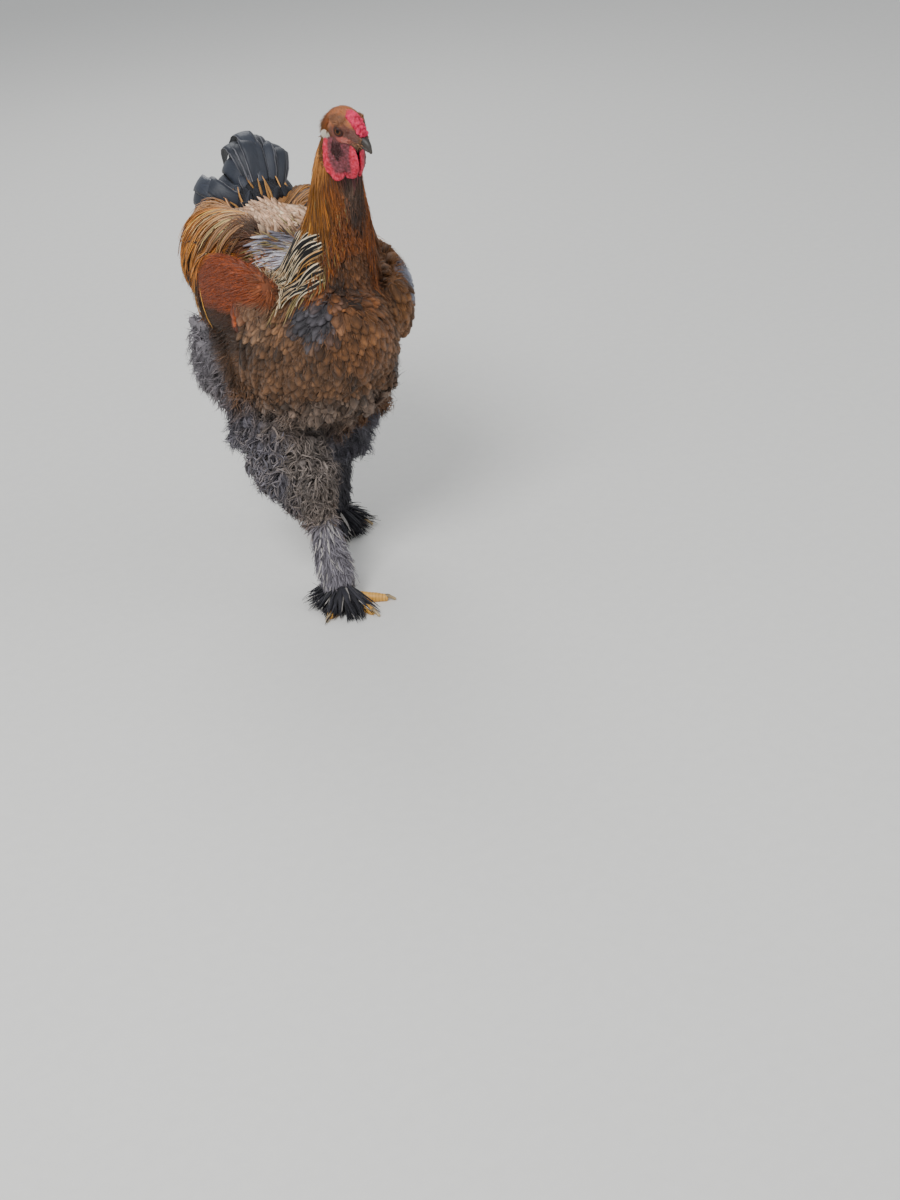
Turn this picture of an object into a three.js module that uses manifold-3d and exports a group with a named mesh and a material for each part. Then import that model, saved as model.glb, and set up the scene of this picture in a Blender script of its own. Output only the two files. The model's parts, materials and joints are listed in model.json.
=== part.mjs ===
// A Brahma cock at life size, striding with its neck up and its head turned a little to its left.
// It faces -Y, its left side is +X and it stands on z = 0. All sizes are in millimetres.
import * as THREE from "three";
import { mergeVertices } from "three/addons/utils/BufferGeometryUtils.js";
import Module from "manifold-3d";

const wasm = await Module();
wasm.setup();

// Driving sizes
const GAP = 0.3; // between pieces that touch
const REACH = 220; // how far out a feather's root is looked for
const SEARCH = 40; // how far above a surface its next place is looked for
const CLEAR = 1.6; // how high a feather stands just past its root
const OVER = 1.5; // how much higher every other feather of a row lies
const SIDES = { left: 1, right: -1 };

const COLOURS = {
  breast: 0x8a5a35,
  fluff: 0x6d6a70,
  hackle: 0xb5772e,
  wingBow: 0xa8471f,
  tail: 0x2f3238,
  face: 0x9c4a44,
  comb: 0xd8304a,
  earTuft: 0xe8dccb,
  beak: 0x4a443c,
  toe: 0xd99b3a,
  claw: 0x6b5a44,
  eye: 0x3a2412,
};

// The torso from breast to rump: the middle, half width and half height of each section.
const TORSO = {
  spine: [
    [0, -140, 398],
    [0, -112, 388],
    [0, -70, 370],
    [0, -10, 358],
    [4, 50, 362],
    [10, 110, 376],
    [14, 160, 404],
    [16, 198, 438],
  ],
  wide: [56, 80, 108, 124, 128, 118, 94, 58],
  high: [54, 78, 112, 138, 146, 144, 116, 74],
};
// The soft swelling of fluff behind each thigh, for the left side.
const FLUFF = {
  spine: [
    [88, 66, 306],
    [92, 112, 312],
    [84, 156, 338],
  ],
  wide: [44, 52, 40],
  high: [52, 62, 48],
};

const NECK = {
  spine: [
    [14, -44, 436],
    [24, -60, 490],
    [27, -82, 538],
    [22, -103, 585],
    [20, -119, 630],
    [22, -130, 664],
  ],
  wide: [68, 57, 45, 36, 29, 22],
  high: [64, 56, 47, 41, 37, 32],
};

// The head's own frame: its middle lies between the eyes, forward runs to the beak.
const HEAD = { at: [24, -160, 686], turn: 12, pitch: 13 };

const v = (x, y, z) => new THREE.Vector3(x, y, z);
const UP = v(0, 0, 1);
const BACK = v(0, 1, 0);
const rad = THREE.MathUtils.degToRad;
const lerp = THREE.MathUtils.lerp;

// Solids and meshes

function solidOf(geometry) {
  const bare = new THREE.BufferGeometry();
  bare.setAttribute("position", geometry.getAttribute("position").clone());
  if (geometry.index) bare.setIndex(geometry.index.clone());
  const merged = mergeVertices(bare, 1e-3);
  const vertProperties = new Float32Array(merged.attributes.position.array);
  const triVerts = new Uint32Array(merged.index.array);
  const make = () => new wasm.Manifold(new wasm.Mesh({ numProp: 3, vertProperties, triVerts }));
  const made = make();
  if (made.volume() > 0) return made;
  for (let i = 0; i < triVerts.length; i += 3) {
    [triVerts[i + 1], triVerts[i + 2]] = [triVerts[i + 2], triVerts[i + 1]];
  }
  return make();
}

function geometryOf(solid) {
  const { numProp, numVert, vertProperties, triVerts } = solid.getMesh();
  const position = new Float32Array(numVert * 3);
  for (let i = 0; i < numVert; i++) position.set(vertProperties.subarray(i * numProp, i * numProp + 3), i * 3);
  const geometry = new THREE.BufferGeometry();
  geometry.setAttribute("position", new THREE.BufferAttribute(position, 3));
  geometry.setIndex(new THREE.BufferAttribute(new Uint32Array(triVerts), 1));
  geometry.computeVertexNormals();
  return geometry;
}

// The space that others keep out of round a piece.
const rooms = new Map();
const roomOf = (piece) => rooms.get(piece) ?? grown(piece, GAP);

const union = (solids) => solids.reduce((whole, next) => whole.add(next));

// The same closed surface moved outwards everywhere by a distance.
function grown(solid, distance) {
  const geometry = geometryOf(solid);
  const { position, normal } = geometry.attributes;
  for (let i = 0; i < position.count; i++) {
    const at = v().fromBufferAttribute(position, i).addScaledVector(v().fromBufferAttribute(normal, i), distance);
    position.setXYZ(i, at.x, at.y, at.z);
  }
  return solidOf(geometry);
}

function largest(solid) {
  const bodies = solid.decompose().sort((a, b) => b.volume() - a.volume());
  return bodies[0];
}

// Rows of points closed into a skin. Each end is closed by a point, or by a flat lid where none is given. The
// squares from side `turned` on are split the other way, so that the two faces of a thin sheet are split alike.
function skinOf(rows, { first, last, turned = rows[0].length }) {
  const sides = rows[0].length;
  const points = rows.flat();
  const at = (row, side) => row * sides + (side % sides);
  const index = [];
  for (let row = 0; row + 1 < rows.length; row++) {
    for (let side = 0; side < sides; side++) {
      const corners = [at(row, side), at(row, side + 1), at(row + 1, side + 1), at(row + 1, side)];
      const order = side < turned ? [0, 1, 3, 3, 1, 2] : [0, 1, 2, 0, 2, 3];
      index.push(...order.map((corner) => corners[corner]));
    }
  }
  const lid = (row, tip) => {
    const flip = row === 0;
    const hub = tip ? points.push(tip) - 1 : at(row, 0);
    for (let side = tip ? 0 : 1; side < sides - (tip ? 0 : 1); side++) {
      index.push(hub, at(row, side + (flip ? 1 : 0)), at(row, side + (flip ? 0 : 1)));
    }
  };
  lid(0, first);
  lid(rows.length - 1, last);
  const geometry = new THREE.BufferGeometry().setFromPoints(points);
  geometry.setIndex(index);
  return geometry;
}

// A rounded body along a smooth line of middles. Its half sizes run along with the line and each end is capped.
// Its sections lie square to the line, or to one facing direction where that is given.
function blob({ spine, wide, high, caps, facing, up = UP, sides = 16, rings = 10, round = 3 }) {
  const path = new THREE.CatmullRomCurve3(spine.map((p) => v(...p)), false, "catmullrom");
  const size = new THREE.CatmullRomCurve3(wide.map((w, i) => v(w, high[i], 0)), false, "catmullrom");
  const lengths = caps ?? [high[0] * 0.6, high.at(-1) * 0.6];
  const section = (t, out) => {
    const along = facing ?? path.getTangent(t);
    const across = v().crossVectors(along, up).normalize();
    const rise = v().crossVectors(across, along);
    const { x: halfWide, y: halfHigh } = size.getPoint(t);
    const shrink = Math.cos(Math.abs(out) * Math.PI / 2);
    const middle = path.getPoint(t).addScaledVector(along, Math.sin(out * Math.PI / 2) * lengths[out < 0 ? 0 : 1]);
    return Array.from({ length: sides }, (_, i) => {
      const angle = (i / sides) * Math.PI * 2;
      return middle.clone()
        .addScaledVector(across, Math.cos(angle) * halfWide * shrink)
        .addScaledVector(rise, Math.sin(angle) * halfHigh * shrink);
    });
  };
  const rows = [];
  for (let i = 1; i < round; i++) rows.push(section(0, i / round - 1));
  for (let i = 0; i <= rings; i++) rows.push(section(i / rings, 0));
  for (let i = 1; i < round; i++) rows.push(section(1, i / round));
  const tip = (t, sign) => {
    const along = facing ?? path.getTangent(t);
    return path.getPoint(t).addScaledVector(along, sign * lengths[sign < 0 ? 0 : 1]);
  };
  return solidOf(skinOf(rows, { first: tip(0, -1), last: tip(1, 1) }));
}

// A thin feather through places in a row, each with the direction its face looks. `profile` gives its width along
// it as shares of the widest, `dish` how far the edges of a curved one sink, and it thins towards its tip.
// Its room is the same sheet, wider and thicker by the gap.
function vane(places, size) {
  const solid = sheet(places, size, 0);
  rooms.set(solid, sheet(places, size, GAP));
  return solid;
}

function sheet(places, { width, profile, thick = 0.9, dish = 0 }, spare) {
  const last = places.length - 1;
  const shares = new THREE.SplineCurve(profile.map((share, i) => new THREE.Vector2(i, share)));
  const stops = dish ? [-1, 0, 1] : [-1, 1];
  const rows = places.map(({ at, face }, i) => {
    const along = places[Math.min(i + 1, last)].at.clone().sub(places[Math.max(i - 1, 0)].at).normalize();
    const across = v().crossVectors(along, face).normalize();
    const up = v().crossVectors(across, along);
    const half = (width / 2) * shares.getPoint(i / last).y + spare;
    const depth = (thick / 2) * lerp(1, 0.5, i / last) + spare;
    const middle = at.clone().addScaledVector(along, i === last ? spare : 0);
    const spot = (side, level) =>
      middle.clone().addScaledVector(across, side * half).addScaledVector(up, level * depth - Math.abs(side) * dish);
    return [...stops.map((side) => spot(side, 1)), ...stops.toReversed().map((side) => spot(side, -1))];
  });
  return solidOf(skinOf(rows, { turned: stops.length }));
}
const LANCE = [0.6, 1, 0.95, 0.62, 0.12];
const BROAD = [0.6, 0.95, 1, 0.9, 0.35];

const surfaceOf = (solids) => new THREE.Mesh(geometryOf(union(solids)));

// Places for a feather that lies along a surface. It starts sunk in, keeps to the surface in steps along its
// heading and lifts towards its tip; past the surface's edge it goes straight on.
function drape(surface, { from, inward, heading, length, steps = 4, sunk = 2.5, lift = 5 }) {
  const ray = new THREE.Raycaster();
  const land = (origin, direction) => {
    ray.set(origin, direction);
    return ray.intersectObject(surface, false)[0];
  };
  const start = land(from, inward.clone().normalize());
  const walk = [{ at: start.point.clone(), face: start.normal.clone() }];
  for (let i = 1; i <= steps; i++) {
    const { at, face } = walk[i - 1];
    const ahead = heading.clone().projectOnPlane(face).setLength(length / steps).add(at);
    const hit = land(ahead.clone().addScaledVector(face, SEARCH), face.clone().negate());
    const found = hit && hit.distance < SEARCH * 1.5;
    walk.push(found ? { at: hit.point.clone(), face: hit.normal.clone() } : { at: ahead, face });
  }
  return walk.map(({ at, face }, i) => ({
    at: at.clone().addScaledVector(face, i === 0 ? -sunk : lerp(CLEAR, lift, i / steps)),
    face,
  }));
}

// The same small spread of sizes on every run.
let seed = 7;
const vary = (amount) => {
  seed = (seed * 16807) % 2147483647;
  return 1 + amount * ((seed / 2147483647) * 2 - 1);
};

const ball = (at, x, y = x, z = x, detail = 10) =>
  solidOf(new THREE.SphereGeometry(1, detail, detail - 2).rotateX(Math.PI / 2).scale(x, y, z).translate(...at));

const bulb = (at, size) => solidOf(new THREE.IcosahedronGeometry(size, 0).translate(...at));

const mirrored = (points, side) => points.map(([x, y, z]) => [x * side, y, z]);

// The head frame

const FORWARD = v(0, -1, 0)
  .applyAxisAngle(v(1, 0, 0), rad(HEAD.pitch))
  .applyAxisAngle(UP, rad(HEAD.turn));
const LEFTWARD = v().crossVectors(UP, FORWARD).normalize();
const CROWNWARD = v().crossVectors(FORWARD, LEFTWARD);
const onHead = (a, b, c) => {
  const at = v(...HEAD.at)
    .addScaledVector(LEFTWARD, a)
    .addScaledVector(FORWARD, b)
    .addScaledVector(CROWNWARD, c);
  return [at.x, at.y, at.z];
};
// A hanging fold starts at a place on the head and drops straight down from there.
const below = ([x, y, z], out, forward, drop) => [x + out, y - forward, z - drop];

const bird = new THREE.Group();
const placed = {};

// Joins the pieces of one part, keeps it clear of the parts already placed and adds it under its name.
function place(name, colour, pieces, neighbours = []) {
  let whole = union(pieces);
  for (const { body, pieces: others } of neighbours.map((near) => placed[near])) {
    for (const piece of others) whole = whole.subtract(roomOf(piece));
    whole = whole.subtract(body);
  }
  const body = largest(whole);
  placed[name] = { body, pieces };
  const material = new THREE.MeshStandardMaterial({ color: colour, roughness: 0.85, metalness: 0 });
  const mesh = new THREE.Mesh(geometryOf(body), material);
  mesh.name = name;
  bird.add(mesh);
}

// Torso, thighs, shanks and feet

const fluff = (side) => blob({ ...FLUFF, spine: mirrored(FLUFF.spine, side), facing: BACK, sides: 12, rings: 3 });
place("torso", COLOURS.breast, [
  blob({ ...TORSO, facing: BACK, caps: [16, 26], sides: 18, rings: 10 }),
  fluff(SIDES.left),
  fluff(SIDES.right),
]);

const LEGS = {
  right: {
    thigh: {
      spine: [[-78, 30, 285], [-66, -12, 225], [-56, -44, 172], [-48, -70, 128]],
      wide: [60, 58, 50, 32],
      high: [66, 60, 50, 32],
    },
    shank: {
      spine: [[-47, -72, 126], [-44, -89, 80], [-44, -103, 46], [-42, -112, 24]],
      wide: [24, 27, 30, 26],
      high: [19, 19, 20, 20],
    },
    ankle: [-40, -112, 12],
    toes: {
      middle: [-17, -181],
      inner: [23, -151],
      outer: [-86, -153],
      hind: [-34, -74],
    },
  },
  left: {
    thigh: {
      spine: [[78, 52, 280], [75, 60, 226], [69, 66, 182], [60, 76, 150]],
      wide: [60, 52, 42, 26],
      high: [60, 54, 42, 28],
    },
    shank: {
      spine: [[58, 79, 144], [54, 96, 88], [51, 106, 48], [50, 112, 24]],
      wide: [20, 22, 24, 19],
      high: [18, 17, 17, 17],
    },
    ankle: [50, 112, 12],
    toes: {
      middle: [28, 42],
      inner: [-4, 86],
      outer: [96, 80],
      hind: [56, 148],
    },
  },
};
const TOE = { root: 9, tip: 5.5, claw: 13 };

// A toe runs from the ankle to where its claw starts; its underside is cut flat on the floor.
function toe(ankle, [x, y]) {
  const tip = v(x, y, TOE.tip);
  const from = v(...ankle);
  const end = tip.clone().addScaledVector(tip.clone().sub(from).normalize(), -TOE.claw);
  const along = (t, z) => [lerp(from.x, end.x, t), lerp(from.y, end.y, t), z];
  return blob({
    spine: [along(0, 7.6), along(0.35, 7.2), along(0.7, 5.9), along(1, 4.5)],
    wide: [TOE.root, 7.5, 6.8, 5.4],
    high: [TOE.root, 8.6, 7.2, 5.6],
    sides: 7,
    rings: 2,
    round: 2,
  });
}

function claw(ankle, [x, y]) {
  const from = v(...ankle);
  const tip = v(x, y, 2.2);
  const way = tip.clone().sub(from).setZ(0).normalize();
  const along = (back, z) => [tip.x - way.x * back, tip.y - way.y * back, z];
  return blob({
    spine: [along(TOE.claw + 3, 6.4), along(TOE.claw - 3, 7.4), along(5, 5.4), along(0, 2.4)],
    wide: [3.2, 3, 2.2, 0.9],
    high: [3.4, 3.2, 2.3, 1],
    sides: 5,
    rings: 2,
    round: 2,
  });
}

const BELOW_FLOOR = solidOf(new THREE.BoxGeometry(900, 900, 60).translate(0, 0, -30));
const onFloor = (solid) => solid.subtract(BELOW_FLOOR);

// Foot feathers grow low on the shank and fan from straight ahead round to the outer side, down to the floor.
const FAN = { count: 6, from: -10, to: 118, reach: 58, width: 20, rise: 16, clear: 1.6 };
function footFeathers(ankle, side) {
  return Array.from({ length: FAN.count }, (_, i) => {
    const angle = rad(lerp(FAN.from, FAN.to, i / (FAN.count - 1)));
    const way = v(Math.sin(angle) * SIDES[side], -Math.cos(angle), 0);
    const root = v(...ankle).addScaledVector(way, 5).setZ(30);
    const tip = root.clone().addScaledVector(way, FAN.reach * vary(0.12)).setZ(FAN.clear);
    const knee = root.clone().lerp(tip, 0.55).setZ(root.z + FAN.rise * 0.3);
    const curve = new THREE.QuadraticBezierCurve3(root, knee, tip);
    const face = way.clone().multiplyScalar(0.5).add(UP);
    const places = curve.getPoints(3).map((at) => ({ at, face }));
    return vane(places, { width: FAN.width, profile: [0.6, 1, 0.95, 0.35] });
  });
}

// Round a shank they hang from the hock in one ring and stand off towards their tips.
const SHANK_RING = { count: 4, from: -20, step: 62, drop: 0.2, length: 76, width: 28, lift: 11 };
function shankFeathers(core, { shank }, side) {
  const surface = surfaceOf([core]);
  const middle = v(...shank.spine[0]).lerp(v(...shank.spine[1]), SHANK_RING.drop);
  return Array.from({ length: SHANK_RING.count }, (_, i) => {
    const angle = rad(SHANK_RING.from + i * SHANK_RING.step);
    const out = v(Math.sin(angle) * SIDES[side], -Math.cos(angle), 0);
    const places = drape(surface, {
      from: middle.clone().addScaledVector(out, REACH),
      inward: out.clone().negate(),
      heading: v(0, 0, -1),
      length: SHANK_RING.length * vary(0.1),
      steps: 3,
      lift: SHANK_RING.lift,
    });
    return vane(places, { width: SHANK_RING.width, profile: [0.6, 1, 0.9, 0.25] });
  });
}

for (const [side, leg] of Object.entries(LEGS)) {
  place(`thigh_${side}`, COLOURS.fluff, [blob({ ...leg.thigh, up: BACK, sides: 12, rings: 5 })], ["torso"]);
  const toes = Object.values(leg.toes).map((end) => onFloor(toe(leg.ankle, end)));
  const pad = onFloor(ball(leg.ankle, 15, 15, 14, 8));
  place(`foot_${side}`, COLOURS.toe, [pad, ...toes]);
  const claws = Object.entries(leg.toes).map(([name, end]) => {
    place(`claw_${side}_${name}`, COLOURS.claw, [onFloor(claw(leg.ankle, end))], [`foot_${side}`]);
    return `claw_${side}_${name}`;
  });
  const core = blob({ ...leg.shank, up: BACK, caps: [8, 6], sides: 10, rings: 4 });
  const feathers = [...shankFeathers(core, leg, side), ...footFeathers(leg.ankle, side)];
  place(`shank_${side}`, COLOURS.fluff, [core, ...feathers], [`thigh_${side}`, `foot_${side}`, ...claws]);
}

// Wings, saddle and tail

const WINGS = {
  right: {
    spine: [[-80, -66, 458], [-96, -15, 450], [-108, 50, 440], [-104, 112, 432]],
    wide: [18, 23, 24, 12],
    high: [32, 52, 56, 34],
  },
  left: {
    spine: [[100, -80, 414], [120, -34, 404], [122, 46, 410], [110, 112, 418]],
    wide: [21, 26, 24, 12],
    high: [38, 62, 62, 38],
  },
};
// Rows of wing feathers: where a row starts, how far its roots spread over the wing's height, and its size.
const WING_ROWS = [
  { y: -46, spread: [-16, 18], count: 2, length: 82, width: 30, lift: 6 },
  { y: 6, spread: [-34, 34], count: 3, length: 92, width: 34, lift: 6 },
  { y: 58, spread: [-34, 30], count: 4, length: 122, width: 24, lift: 6 },
];
const SADDLES = {
  right: {
    spine: [[-32, 58, 492], [-56, 104, 470], [-66, 150, 460], [-46, 190, 480]],
    wide: [32, 54, 52, 34],
    high: [26, 60, 68, 44],
  },
  left: {
    spine: [[40, 58, 490], [66, 104, 468], [76, 150, 458], [56, 190, 478]],
    wide: [32, 56, 54, 34],
    high: [26, 58, 66, 44],
  },
};
// Rows of saddle hackle: how far down the flank from the back's ridge, where along the back, and its size.
const SADDLE_ROWS = [
  { down: 26, y: [78, 176], count: 3, length: 94, width: 30, lift: 8 },
  { down: 50, y: [84, 184], count: 3, length: 98, width: 30, lift: 8 },
  { down: 76, y: [82, 164], count: 3, length: 98, width: 26, lift: 8 },
];
const SPINE_AXIS = { x: 8, z: 420 };

const wingCore = (side) => blob({ ...WINGS[side], facing: BACK, caps: [14, 20], sides: 12, rings: 5 });
const saddleCore = (side) => blob({ ...SADDLES[side], facing: BACK, caps: [16, 18], sides: 12, rings: 5 });
const cores = {
  wing_right: wingCore("right"),
  wing_left: wingCore("left"),
  saddle_right: saddleCore("right"),
  saddle_left: saddleCore("left"),
};
const flesh = (...names) => names.flatMap((name) => (cores[name] ? [cores[name]] : placed[name].pieces));

// Feathers spread evenly over a row, every other one lying a little higher than its neighbours.
function rowOf(count, from, to, make) {
  return Array.from({ length: count }, (_, i) => make(lerp(from, to, i / (count - 1)), (i % 2) * OVER));
}

for (const side of ["right", "left"]) {
  const surface = surfaceOf(flesh(`wing_${side}`, "torso", `thigh_${side}`));
  const path = new THREE.CatmullRomCurve3(WINGS[side].spine.map((p) => v(...p)));
  const feathers = WING_ROWS.flatMap((row) =>
    rowOf(row.count, ...row.spread, (up, over) => {
      const t = THREE.MathUtils.inverseLerp(WINGS[side].spine[0][1], WINGS[side].spine.at(-1)[1], row.y);
      const places = drape(surface, {
        from: v(REACH * SIDES[side], row.y, path.getPoint(t).z + up),
        inward: v(-SIDES[side], 0, 0),
        heading: v(0, 1, -0.12 + up * 0.002),
        length: row.length * vary(0.06),
        lift: row.lift + over,
      });
      return vane(places, { width: row.width * vary(0.05), profile: BROAD });
    }),
  );
  place(`wing_${side}`, COLOURS.wingBow, [cores[`wing_${side}`], ...feathers], ["torso", `thigh_${side}`]);
}

for (const side of ["right", "left"]) {
  const surface = surfaceOf(flesh(`saddle_${side}`, "torso", `wing_${side}`, `thigh_${side}`));
  const feathers = SADDLE_ROWS.flatMap((row) =>
    rowOf(row.count, ...row.y, (y, over) => {
      const angle = rad(row.down);
      const out = v(Math.sin(angle) * SIDES[side], 0, Math.cos(angle));
      const places = drape(surface, {
        from: v(SPINE_AXIS.x, y, SPINE_AXIS.z).addScaledVector(out, REACH),
        inward: out.clone().negate(),
        heading: v(0.6 * SIDES[side], 0.42, -0.9),
        length: row.length * vary(0.1),
        steps: 3,
        sunk: 3,
        lift: row.lift + over,
      });
      return vane(places, { width: row.width * vary(0.08), profile: LANCE });
    }),
  );
  const others = side === "left" ? ["saddle_right"] : [];
  place(`saddle_${side}`, COLOURS.hackle, [cores[`saddle_${side}`], ...feathers], [
    "torso",
    "wing_left",
    "wing_right",
    ...others,
  ]);
}

// The tail is a fountain: each feather leaves the root, rises in its own leaning plane and curls over and back.
const TAIL = {
  spine: [[18, 168, 474], [24, 192, 508], [27, 214, 522]],
  wide: [44, 42, 26],
  high: [40, 36, 24],
  root: [24, 180, 478],
};
// Tiers from the innermost out: the angles from upright that each one spans, its rise and run, and where it stops.
// Most feathers stand in one upright column; the others sweep low to either side.
const TAIL_TIERS = [
  { count: 2, from: -52, to: 14, out: -11, rise: 104, run: 132, stop: 0.86, width: 32 },
  { count: 3, from: -5, to: 27, out: 1, rise: 113, run: 130, stop: 1, width: 31 },
  { count: 3, from: -84, to: -40, out: 0, rise: 118, run: 128, stop: 0.96, width: 31 },
  { count: 2, from: 58, to: 82, out: 0, rise: 96, run: 116, stop: 0.9, width: 27 },
  { count: 2, from: -6, to: 18, out: 11, rise: 98, run: 118, stop: 0.66, width: 30 },
  { count: 2, from: -64, to: -34, out: 11, rise: 98, run: 116, stop: 0.66, width: 30 },
];
function tailFeather(tier, lean, over) {
  const angle = rad(lean);
  const away = v(Math.sin(angle), 0, Math.cos(angle));
  const rise = (tier.rise - 34 * Math.abs(Math.sin(angle))) * vary(0.03);
  const arc = (s) => {
    const up = rise * Math.sin(Math.PI * 0.86 * s ** 0.8) + (tier.out + over) * Math.min(1, s * 2.5);
    return v(...TAIL.root).addScaledVector(away, up).addScaledVector(BACK, tier.run * s ** 1.35 - tier.out * 0.8);
  };
  const places = Array.from({ length: 5 }, (_, i) => {
    const s = (i / 4) * tier.stop;
    const along = arc(s + 0.01).sub(arc(Math.max(s - 0.01, 0)));
    const sideways = v().crossVectors(BACK, away);
    return { at: arc(s), face: v().crossVectors(sideways, along).normalize() };
  });
  return vane(places, { width: tier.width, profile: [0.35, 0.85, 1, 0.9, 0.35], thick: 1.4, dish: 2.4 });
}
place(
  "tail",
  COLOURS.tail,
  [
    blob({ ...TAIL, caps: [16, 12], sides: 14, rings: 5 }),
    ...TAIL_TIERS.flatMap((tier) => rowOf(tier.count, tier.from, tier.to, (lean, over) => tailFeather(tier, lean, over))),
  ],
  ["torso", "saddle_left", "saddle_right"],
);

// Neck and head

// Rings of neck hackle: the height of its roots, the arc they take up round the nape, and its size.
const HACKLE_RINGS = [
  { z: 650, arc: 138, count: 8, length: 88, width: 21, lift: 8.5 },
  { z: 594, arc: 146, count: 8, length: 102, width: 29, lift: 9.5 },
  { z: 532, arc: 116, count: 6, length: 108, width: 36, lift: 9.5 },
];
const neckCore = blob({ ...NECK, up: BACK, caps: [30, 8], sides: 16, rings: 7 });
const shoulders = surfaceOf([neckCore, ...flesh("torso", "wing_left", "wing_right", "saddle_left", "saddle_right")]);
const neckPath = new THREE.CatmullRomCurve3(NECK.spine.map((p) => v(...p)));
const neckAt = (z) => neckPath.getPoints(60).reduce((a, b) => (Math.abs(a.z - z) < Math.abs(b.z - z) ? a : b));
const hackle = HACKLE_RINGS.flatMap((ring) =>
  rowOf(ring.count, -ring.arc, ring.arc, (round, over) => {
    const out = v(Math.sin(rad(round)), Math.cos(rad(round)), 0);
    const places = drape(shoulders, {
      from: neckAt(ring.z).clone().addScaledVector(out, REACH),
      inward: out.clone().negate(),
      heading: out.clone().multiplyScalar(0.3).setZ(-1),
      length: ring.length * vary(0.08),
      steps: 3,
      lift: ring.lift + over,
    });
    return vane(places, { width: ring.width * vary(0.06), profile: LANCE });
  }),
);
place("neck", COLOURS.hackle, [neckCore, ...hackle], [
  "torso",
  "wing_left",
  "wing_right",
  "saddle_left",
  "saddle_right",
]);

const skull = blob({
  spine: [onHead(0, -24, -8), onHead(0, -10, -1), onHead(0, 4, -1), onHead(0, 16, -5)],
  wide: [19, 19.5, 17, 11],
  high: [19, 21.5, 19.5, 13],
  caps: [12, 5],
  sides: 12,
  rings: 5,
  round: 2,
});
const EYE = { out: 15.5, size: 6 };
const eyeAt = (side) => onHead(side * EYE.out, 0, 0);
// The lids make a thick rim round the eyeball, and the brow juts over it.
function lids(side) {
  const rim = new THREE.TorusGeometry(EYE.size + 0.6, 1.7, 4, 10).rotateY(Math.PI / 2);
  const turned = rim.applyMatrix4(new THREE.Matrix4().makeBasis(LEFTWARD, FORWARD, CROWNWARD));
  return solidOf(turned.translate(...onHead(side * (EYE.out + 0.8), 0, 0)));
}
function brow(side) {
  return blob({
    spine: [onHead(side * 13.5, -9, 7.5), onHead(side * 15.5, 0, 9.5), onHead(side * 12, 12, 5)],
    wide: [2.5, 3.6, 2.4],
    high: [2.2, 3, 2.2],
    caps: [3, 3],
    sides: 8,
    rings: 4,
    round: 2,
  });
}
const both = (shape) => Object.values(SIDES).map(shape);
const eyeballs = both((side) => ball(eyeAt(side), EYE.size, EYE.size, EYE.size, 8));
const head = union([skull, ...both(lids), ...both(brow)]);
place("head", COLOURS.face, [head.subtract(union(eyeballs.map((eye) => grown(eye, GAP))))], ["neck"]);
Object.keys(SIDES).forEach((side, i) => place(`eye_${side}`, COLOURS.eye, [eyeballs[i]]));

const COMB = { rows: [-6.2, 0, 6.2], bumps: 5, from: -10, to: 22 };
const combBumps = COMB.rows.flatMap((a) =>
  Array.from({ length: COMB.bumps }, (_, i) => {
    const t = i / (COMB.bumps - 1);
    const swell = 0.75 + 0.35 * Math.sin(Math.PI * t);
    const rise = (a === 0 ? 3 : 0) + lerp(19.5, 7.5, t * t);
    return bulb(onHead(a * swell, lerp(COMB.from, COMB.to, t), rise), 5.4 * swell);
  }),
);
const combBed = blob({
  spine: [onHead(0, -13, 18), onHead(0, 4, 18.5), onHead(0, 22, 8)],
  wide: [5, 8, 4.5],
  high: [3.6, 5, 3.6],
  caps: [4, 3],
  sides: 8,
  rings: 4,
  round: 2,
});
place("comb", COLOURS.comb, [combBed, ...combBumps], ["head"]);

const upperBeak = blob({
  spine: [onHead(0, 14, -3.5), onHead(0, 27, -4.5), onHead(0, 39, -8), onHead(0, 46, -14)],
  wide: [8.5, 7.4, 4.6, 1.4],
  high: [7, 6.2, 4.6, 2.2],
  caps: [3, 2.5],
  sides: 12,
  rings: 6,
  round: 2,
});
const nostrils = both((side) => ball(onHead(side * 7.6, 26, -3.4), 1.5, 2.6, 1.3, 6));
place("beak_upper", COLOURS.beak, [upperBeak.subtract(union(nostrils))], ["head", "comb"]);
const lowerBeak = blob({
  spine: [onHead(0, 14, -13), onHead(0, 26, -13.6), onHead(0, 35, -15), onHead(0, 40.5, -16.8)],
  wide: [7, 5.8, 4, 1.5],
  high: [4.2, 3.6, 2.6, 1.4],
  caps: [3, 2],
  sides: 10,
  rings: 5,
  round: 2,
});
place("beak_lower", COLOURS.beak, [lowerBeak], ["head", "beak_upper"]);

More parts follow.
